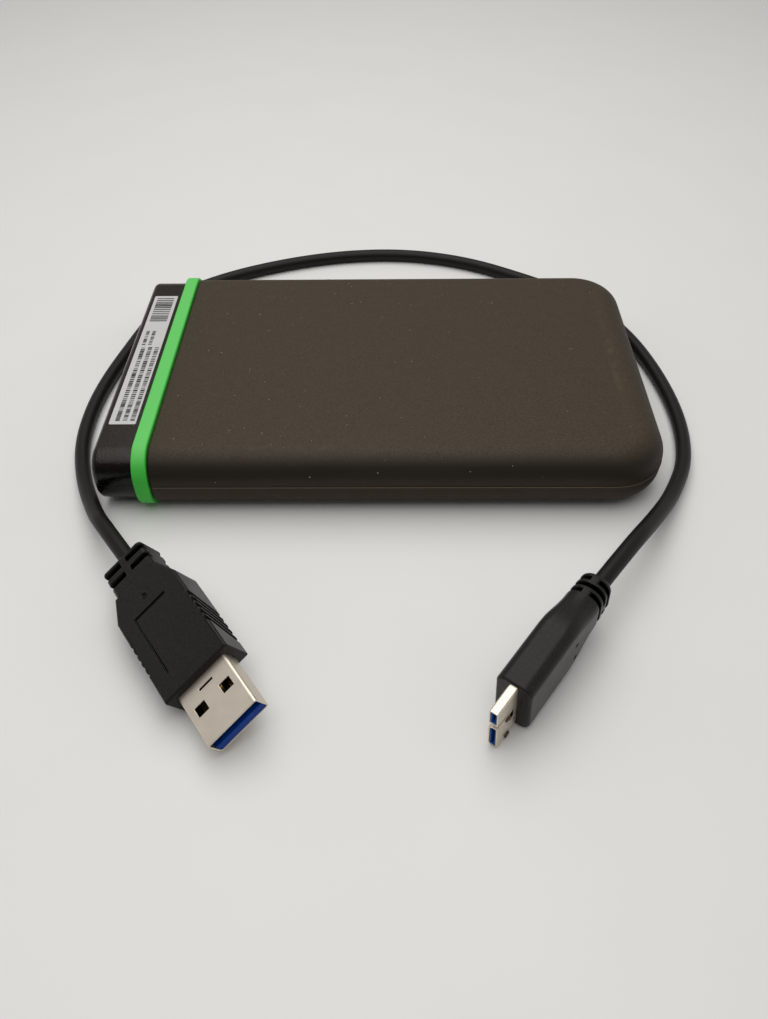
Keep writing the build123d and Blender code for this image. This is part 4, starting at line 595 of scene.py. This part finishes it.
patches = add_node(settled, "ShaderNodeTexNoise", {
    "Vector": spot.outputs[0], "Scale": 1000 / 14, "Detail": 2})
patchy = add_node(settled, "ShaderNodeMapRange", {
    "Value": patches.outputs[0], "From Min": 0.42, "From Max": 0.66, "To Min": 0.1, "To Max": 1.0})
spread = add_node(settled, "ShaderNodeMath", {
    0: thinner.outputs[0], 1: patchy.outputs[0]}, operation="MULTIPLY")
speck_density = add_node(settled, "ShaderNodeMath", {
    0: spread.outputs[0], 1: sizes.outputs["Speck Density"]}, operation="MULTIPLY")
specks = add_node(settled, "GeometryNodeDistributePointsOnFaces", {
    "Mesh": surface.outputs["Geometry"], "Selection": catching.outputs[0],
    "Density": speck_density.outputs[0], "Seed": 7})
speck = add_node(settled, "GeometryNodeMeshIcoSphere", {"Radius": 1.0, "Subdivisions": 1})
speck_random = add_node(settled, "FunctionNodeRandomValue", {2: 0.25, 3: 1.0, "Seed": 11})
speck_share = add_node(settled, "ShaderNodeMath", {0: speck_random.outputs[1], 1: 2.5}, operation="POWER")
speck_scale = add_node(settled, "ShaderNodeMath", {
    0: speck_share.outputs[0], 1: sizes.outputs["Speck Size"]}, operation="MULTIPLY")
speck_shape = add_node(settled, "ShaderNodeCombineXYZ", {
    0: speck_scale.outputs[0], 1: speck_scale.outputs[0], 2: speck_scale.outputs[0]})
placed_specks = add_node(settled, "GeometryNodeInstanceOnPoints", {
    "Points": specks.outputs["Points"], "Instance": speck.outputs["Mesh"], "Scale": speck_shape.outputs[0]})
fibre_points = add_node(settled, "GeometryNodeDistributePointsOnFaces", {
    "Mesh": surface.outputs["Geometry"], "Selection": catching.outputs[0],
    "Density": sizes.outputs["Fibre Density"], "Seed": 23})
fibre_bend = add_node(settled, "GeometryNodeCurveArc", {
    "Resolution": 6, "Radius": 0.9, "Sweep Angle": radians(70)})
fibre_round = add_node(settled, "GeometryNodeCurvePrimitiveCircle", {"Resolution": 4, "Radius": 0.035})
fibre = add_node(settled, "GeometryNodeCurveToMesh", {
    "Curve": fibre_bend.outputs[0], "Profile Curve": fibre_round.outputs[0], "Fill Caps": True})
fibre_random = add_node(settled, "FunctionNodeRandomValue", {2: 0.3, 3: 1.0, "Seed": 31})
fibre_scale = add_node(settled, "ShaderNodeMath", {
    0: fibre_random.outputs[1], 1: sizes.outputs["Fibre Length"]}, operation="MULTIPLY")
fibre_shape = add_node(settled, "ShaderNodeCombineXYZ", {
    0: fibre_scale.outputs[0], 1: fibre_scale.outputs[0], 2: fibre_scale.outputs[0]})
spin = add_node(settled, "FunctionNodeRandomValue", {2: 0.0, 3: 2 * pi, "Seed": 5})
twist = add_node(settled, "FunctionNodeAxisAngleToRotation", {"Axis": (0, 0, 1), "Angle": spin.outputs[1]})
lie = add_node(settled, "FunctionNodeRotateRotation", {
    0: fibre_points.outputs["Rotation"], 1: twist.outputs[0]}, rotation_space="LOCAL")
placed_fibres = add_node(settled, "GeometryNodeInstanceOnPoints", {
    "Points": fibre_points.outputs["Points"], "Instance": fibre.outputs[0], "Rotation": lie.outputs[0],
    "Scale": fibre_shape.outputs[0]})
together = add_node(settled, "GeometryNodeJoinGeometry", {})
settled.links.new(placed_specks.outputs[0], together.inputs[0])
settled.links.new(placed_fibres.outputs[0], together.inputs[0])
real = add_node(settled, "GeometryNodeRealizeInstances", {0: together.outputs[0]})
coloured = add_node(settled, "GeometryNodeSetMaterial", {"Geometry": real.outputs[0], "Material": dust})
add_node(settled, "NodeGroupOutput", {0: coloured.outputs[0]})


def grown(name, group, inputs):
    """The plain mesh object that a Geometry Nodes tree gives for these named inputs."""
    carrier = new_object(name, bpy.data.meshes.new(name + "_seed"))
    modifier = carrier.modifiers.new(name, "NODES")
    modifier.node_group = group
    for item in group.interface.items_tree:
        if item.item_type == "SOCKET" and item.in_out == "INPUT" and item.name in inputs:
            modifier[item.identifier] = inputs[item.name]
    bpy.context.view_layer.update()
    result = bpy.data.meshes.new_from_object(carrier.evaluated_get(bpy.context.evaluated_depsgraph_get()))
    carrier.modifiers.remove(modifier)
    carrier.data = result
    return carrier


lint = grown("sleeve_dust", settled, {"Sleeve": sleeve, **dust_sizes})
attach(lint, "case")

# Label: a strip of white polyester film stuck along the top of the cap, with a generic print of plain
# bars: rows of short dashes and a block of upright lines, none of which can be read.
label_low, label_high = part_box("label")

# Polyester film: clean cool white with a satin face and faint 2 mm unevenness of the glue under it.
label_film, tree, place = start_material("white_polyester_film")
glue = add_node(tree, "ShaderNodeTexNoise", {"Vector": place, "Scale": 1000 / 2, "Detail": 2})
tint = add_node(tree, "ShaderNodeMix", {0: glue.outputs[0], 6: linear("#bcbcbd"), 7: linear("#c6c6c6")},
                data_type="RGBA")
uneven = add_node(tree, "ShaderNodeBump", {
    "Height": glue.outputs[0], "Strength": 0.15, "Distance": 0.00003})
skin = add_node(tree, "ShaderNodeBsdfPrincipled", {
    "Base Color": tint.outputs[2], "Roughness": 0.42, "IOR": 1.5, "Normal": uneven.outputs[0]})
add_node(tree, "ShaderNodeOutputMaterial", {"Surface": skin.outputs[0]})
moulded_copy("label", 0.00003, label_film)

# Printing ink: thermal-transfer black, a little thin in 0.3 mm patches.
label_ink, tree, place = start_material("thermal_transfer_ink")
thin = add_node(tree, "ShaderNodeTexNoise", {"Vector": place, "Scale": 1000 / 0.3})
tint = add_node(tree, "ShaderNodeMix", {0: thin.outputs[0], 6: linear("#0c0c0d"), 7: linear("#1d1d1f")},
                data_type="RGBA")
skin = add_node(tree, "ShaderNodeBsdfPrincipled", {"Base Color": tint.outputs[2], "Roughness": 0.5})
add_node(tree, "ShaderNodeOutputMaterial", {"Surface": skin.outputs[0]})

printed = bpy.data.node_groups.new("label_bars", "GeometryNodeTree")
bar_inputs = ("Across", "Along", "Bar Pitch", "Bar High", "Least", "Most")
for name in bar_inputs:
    printed.interface.new_socket(name, in_out="INPUT", socket_type="NodeSocketFloat")
for name in ("Rows", "Bars", "Seed"):
    printed.interface.new_socket(name, in_out="INPUT", socket_type="NodeSocketInt")
printed.interface.new_socket("Place", in_out="INPUT", socket_type="NodeSocketVector")
printed.interface.new_socket("Geometry", in_out="OUTPUT", socket_type="NodeSocketGeometry")
sizes = add_node(printed, "NodeGroupInput", {})
field = add_node(printed, "GeometryNodeMeshGrid", {
    "Size X": sizes.outputs["Across"], "Size Y": sizes.outputs["Along"],
    "Vertices X": sizes.outputs["Rows"], "Vertices Y": sizes.outputs["Bars"]})
bar = add_node(printed, "GeometryNodeMeshGrid", {
    "Size X": 1.0, "Size Y": 1.0, "Vertices X": 2, "Vertices Y": 2})
share = add_node(printed, "FunctionNodeRandomValue", {
    2: sizes.outputs["Least"], 3: sizes.outputs["Most"], "Seed": sizes.outputs["Seed"]})
bar_long = add_node(printed, "ShaderNodeMath", {0: share.outputs[1], 1: sizes.outputs["Bar Pitch"]},
                    operation="MULTIPLY")
bar_shape = add_node(printed, "ShaderNodeCombineXYZ", {
    0: sizes.outputs["Bar High"], 1: bar_long.outputs[0], 2: 1.0})
bars = add_node(printed, "GeometryNodeInstanceOnPoints", {
    "Points": field.outputs["Mesh"], "Instance": bar.outputs["Mesh"], "Scale": bar_shape.outputs[0]})
laid = add_node(printed, "GeometryNodeTransform", {
    "Geometry": bars.outputs[0], "Translation": sizes.outputs["Place"]})
real = add_node(printed, "GeometryNodeRealizeInstances", {0: laid.outputs[0]})
coloured = add_node(printed, "GeometryNodeSetMaterial", {
    "Geometry": real.outputs[0], "Material": label_ink})
add_node(printed, "NodeGroupOutput", {0: coloured.outputs[0]})

ink_thick = 0.00001
print_z = label_high.z + ink_thick
label_x = (label_low.x + label_high.x) / 2
for name, seed, across, along, rows, count, high, least, most, shift, y in (
        ("label_dashes", 3, 0.0035, 0.0290, 3, 40, 0.00105, 0.3, 0.95, 0.0004, label_low.y + 0.0160),
        ("label_note", 9, 0.0016, 0.0060, 2, 9, 0.0009, 0.3, 0.95, -0.0008, label_low.y + 0.0350),
        ("label_lines", 17, 0.0, 0.0110, 1, 13, 0.0046, 0.35, 0.85, 0.0, label_high.y - 0.0068)):
    marks = grown(name, printed, {
        "Across": across, "Along": along, "Rows": rows, "Bars": count, "Bar High": high,
        "Bar Pitch": along / (count - 1), "Least": least, "Most": most, "Seed": seed,
        "Place": (label_x + shift, y, print_z)})
    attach(marks, "case")

# Lead: a round cord 3.6 mm thick, copper cores in an extruded PVC jacket, that lies loose round the drive
# from one plug to the other and is plugged into nothing.
lead_thick = 0.0036
lead_points = (
    (-50.820, -63.595, 8.384), (-58.9, -53.3, 8.8), (-63.7, -45.8, 5.6), (-71.0, -31.0, 2.2),
    (-75.2, -15.5, 1.85), (-75.3, 3.5, 1.85), (-70.7, 27.0, 1.85), (-65.8, 48.0, 1.85), (-51.0, 60.4, 1.85),
    (-32.5, 69.2, 1.85), (-13.0, 74.4, 1.85), (6.8, 74.95, 1.85), (26.0, 69.6, 1.85), (43.0, 58.9, 1.85),
    (58.5, 47.4, 1.85), (68.2, 30.0, 1.85), (72.9, 12.0, 1.85), (74.9, -7.5, 1.85), (72.6, -25.0, 2.3),
    (66.3, -38.2, 3.6), (59.4, -49.1, 7.0), (51.4, -60.2, 10.6), (42.751, -70.860, 9.534))
line = bpy.data.curves.new("lead_line", "CURVE")
line.dimensions = "3D"
spline = line.splines.new("NURBS")
spline.points.add(len(lead_points) - 1)
for point, spot in zip(spline.points, lead_points):
    point.co = (spot[0] / 1000, spot[1] / 1000, spot[2] / 1000, 1.0)
spline.order_u = 3
spline.use_endpoint_u = True
spline.resolution_u = 12
line.bevel_depth = lead_thick / 2
line.bevel_resolution = 6
line.use_fill_caps = True
lead = new_object("lead", line)

# PVC jacket: warm black with a satin extruded skin, dulled in 6 mm patches, with 0.5 mm haul-off ripples.
lead_pvc, tree, place = start_material("extruded_pvc_jacket")
dulled = add_node(tree, "ShaderNodeTexNoise", {"Vector": place, "Scale": 1000 / 6, "Detail": 3})
ripple = add_node(tree, "ShaderNodeTexNoise", {"Vector": place, "Scale": 1000 / 0.5, "Detail": 2})
tint = add_node(tree, "ShaderNodeMix", {0: dulled.outputs[0], 6: linear("#0e0c0b"), 7: linear("#151211")},
                data_type="RGBA")
rough = add_node(tree, "ShaderNodeMapRange", {"Value": dulled.outputs[0], "To Min": 0.38, "To Max": 0.55})
drawn = add_node(tree, "ShaderNodeBump", {
    "Height": ripple.outputs[0], "Strength": 0.15, "Distance": 0.00002})
skin = add_node(tree, "ShaderNodeBsdfPrincipled", {
    "Base Color": tint.outputs[2], "Roughness": rough.outputs[0], "IOR": 1.53, "Normal": drawn.outputs[0],
    "Specular IOR Level": 0.2})
add_node(tree, "ShaderNodeOutputMaterial", {"Surface": skin.outputs[0]})
line.materials.append(lead_pvc)
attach(lead, "case")
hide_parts("cable")

# Computer plug: a PVC grip moulded over a folded nickel-plated shell, whose mouth holds a blue tongue
# with four gold springs. Ribs on its sides and slots in its relief come from the mould.

# Plug PVC: neutral black, with a spark-eroded grain drawn 0.4 mm wide, 4 mm patches of handling shine
# and painted shade that blackens its grooves and dimples, taken from their occlusion.
plug_pvc, tree, place = start_material("moulded_plug_pvc")
shine = add_node(tree, "ShaderNodeTexNoise", {"Vector": place, "Scale": 1000 / 4, "Detail": 3})
grain = add_node(tree, "ShaderNodeTexNoise", {"Vector": place, "Scale": 1000 / 0.4, "Detail": 2})
tint = add_node(tree, "ShaderNodeMix", {0: grain.outputs[0], 6: linear("#0d0c0c"), 7: linear("#2b2a2a")},
                data_type="RGBA")
# Painted shade: occlusion within 1.2 mm takes the colour to black in grooves and dimples.
open_face = add_node(tree, "ShaderNodeAmbientOcclusion", {"Distance": 0.0012}, samples=12, only_local=True)
clear = add_node(tree, "ShaderNodeMapRange", {
    "Value": open_face.outputs["AO"], "From Min": 0.75, "From Max": 0.99})
groove_painted_shade = add_node(tree, "ShaderNodeMix", {0: clear.outputs[0], 6: linear("#000000"), 7: tint.outputs[2]},
                 data_type="RGBA")
rough = add_node(tree, "ShaderNodeMapRange", {"Value": shine.outputs[0], "To Min": 0.26, "To Max": 0.38})
eroded = add_node(tree, "ShaderNodeBump", {
    "Height": grain.outputs[0], "Strength": 0.35, "Distance": 0.00003})
skin = add_node(tree, "ShaderNodeBsdfPrincipled", {
    "Base Color": groove_painted_shade.outputs[2], "Roughness": rough.outputs[0], "IOR": 1.53, "Normal": eroded.outputs[0],
    "Specular IOR Level": 0.15})
add_node(tree, "ShaderNodeOutputMaterial", {"Surface": skin.outputs[0]})

mounts = {mount["name"]: mount for mount in frame["record"]["mounts"]}


def tongue_nylon(name, mouth, deep_blue, pale_blue, blue_long):
    """Satin blue nylon with faint 1 mm flow marks; past blue_long metres in, painted shade makes it black."""
    material, tree, place = start_material(name)
    flow = add_node(tree, "ShaderNodeTexNoise", {"Vector": place, "Scale": 1000 / 1, "Detail": 2})
    tint = add_node(tree, "ShaderNodeMix", {0: flow.outputs[0], 6: linear(deep_blue), 7: linear(pale_blue)},
                    data_type="RGBA")
    inward = add_node(tree, "ShaderNodeVectorMath", {0: place, 1: mouth["pos_m"]},
                      operation="SUBTRACT")
    depth = add_node(tree, "ShaderNodeVectorMath", {
        0: inward.outputs[0], 1: mouth["axis"]}, operation="DOT_PRODUCT")
    # Painted shade: deeper than blue_long inside the mouth the colour turns near black #080808, where the shell
    # keeps light out.
    front = add_node(tree, "ShaderNodeMath", {
        0: depth.outputs["Value"], 1: -blue_long}, operation="GREATER_THAN")
    moulded = add_node(tree, "ShaderNodeMix", {
        0: front.outputs[0], 6: linear("#080808"), 7: tint.outputs[2]}, data_type="RGBA")
    skin = add_node(tree, "ShaderNodeBsdfPrincipled", {
        "Base Color": moulded.outputs[2], "Roughness": 0.5, "IOR": 1.53, "Specular IOR Level": 0.08})
    add_node(tree, "ShaderNodeOutputMaterial", {"Surface": skin.outputs[0]})
    return material


computer_blue = tongue_nylon("deep_blue_nylon", mounts["computer_plug"], "#0a2f80", "#13449c", 0.0025)
computer_plug = [
    moulded_copy("usb_a_overmould", 0.00018, plug_pvc),
    moulded_copy("usb_a_shell", 0.00006, nickel_plate),
    moulded_copy("usb_a_tongue", 0.0001, computer_blue),
]

# Drive plug: a slimmer grip of the same PVC on the lead's other end, with a flat nickel shell in two
# mouths, a blue tongue in each and two latch springs on its side.

# Darkened plate: the latch springs are a dull dark brown, uneven in 1 mm patches, as painted shade for their
# openings.
shade_darkened_latch_plate, tree, place = start_material("shade_darkened_nickel_plate")
dark_patches = add_node(tree, "ShaderNodeTexNoise", {"Vector": place, "Scale": 1000 / 1, "Detail": 2})
tint = add_node(tree, "ShaderNodeMix", {0: dark_patches.outputs[0], 6: linear("#43392f"), 7: linear("#6b5a45")},
                data_type="RGBA")
skin = add_node(tree, "ShaderNodeBsdfPrincipled", {
    "Base Color": tint.outputs[2], "Metallic": 1.0, "Roughness": 0.5})
add_node(tree, "ShaderNodeOutputMaterial", {"Surface": skin.outputs[0]})
dress(shade_darkened_latch_plate, "nickel_plate", "micro_b_latches")

drive_blue = tongue_nylon("mid_blue_nylon", mounts["drive_plug"], "#1b4a94", "#2f68b4", 0.002)
drive_plug = [
    moulded_copy("micro_b_overmould", 0.00015, plug_pvc),
    moulded_copy("micro_b_shell", 0.00004, nickel_plate),
    moulded_copy("micro_b_tongue", 0.00005, drive_blue),
]

# Table, light and camera: a pale satin table top under a wide lamp overhead, in a room with windows at
# both sides and behind and little light in front. It is seen from in front and above.
table_half = 2.0
side_window = 0.35
mesh = bpy.data.meshes.new("table_top")
mesh.from_pydata([(x * table_half, y * table_half, 0) for x, y in ((-1, -1), (1, -1), (1, 1), (-1, 1))], [],
                 [(0, 1, 2, 3)])
table_top = new_object("table_top", mesh)

# Laminate: neutral white, satin, with barely seen 30 mm unevenness.
laminate, tree, place = start_material("white_laminate")
uneven = add_node(tree, "ShaderNodeTexNoise", {"Vector": place, "Scale": 1000 / 30, "Detail": 3})
tint = add_node(tree, "ShaderNodeMix", {0: uneven.outputs[0], 6: linear("#dddedd"), 7: linear("#e1e2e1")},
                data_type="RGBA")
skin = add_node(tree, "ShaderNodeBsdfPrincipled", {"Base Color": tint.outputs[2], "Roughness": 0.55})
add_node(tree, "ShaderNodeOutputMaterial", {"Surface": skin.outputs[0]})
mesh.materials.append(laminate)

world = bpy.data.worlds.new("soft_room")
world.use_nodes = True
tree = world.node_tree
tree.nodes.clear()
heading = add_node(tree, "ShaderNodeTexCoord", {})
compass = add_node(tree, "ShaderNodeSeparateXYZ", {0: heading.outputs["Generated"]})
behind = add_node(tree, "ShaderNodeMapRange", {
    "Value": compass.outputs[1], "From Min": -0.7, "From Max": 0.1, "To Min": 0.1, "To Max": 0.34},
    interpolation_type="SMOOTHSTEP")
sideways = add_node(tree, "ShaderNodeMath", {
    0: compass.outputs[0], 1: compass.outputs[0]}, operation="MULTIPLY")
windows = add_node(tree, "ShaderNodeMath", {0: sideways.outputs[0], 1: side_window, 2: behind.outputs[0]},
                   operation="MULTIPLY_ADD")
room = add_node(tree, "ShaderNodeBackground", {"Color": linear("#fdfbf9"), "Strength": windows.outputs[0]})
add_node(tree, "ShaderNodeOutputWorld", {"Surface": room.outputs[0]})
bpy.context.scene.world = world
lamp = bpy.data.lights.new("overhead_strip", "AREA")
lamp.shape = "RECTANGLE"
lamp.size = 0.4
lamp.size_y = 0.8
lamp.energy = 2.14
lamp.color = linear("#fffcf8")[:3]
strip = new_object("overhead_strip", lamp)
strip.location = (-0.032, 0.05, 0.45)

# The camera's place, its turns and its focal length in pixels, fitted to the outline in the photograph.
photo_high, focal_pixels = 1019, 865.636
eye = (0.0038471, -0.1805587, 0.1412902)
pan, tilt, roll = 0.0235368, 0.7851369, -0.0181317
lens = bpy.data.cameras.new("photo_view")
lens.sensor_width = 36
lens.lens = focal_pixels * lens.sensor_width / photo_high
lens.clip_start = 0.01
camera = new_object("photo_view", lens)
camera.matrix_world = (Matrix.Translation(eye) @ Matrix.Rotation(pan, 4, "Z")
                       @ Matrix.Rotation(tilt, 4, "X") @ Matrix.Rotation(roll, 4, "Z"))
bpy.context.scene.camera = camera
bpy.context.scene.view_settings.view_transform = "Standard"
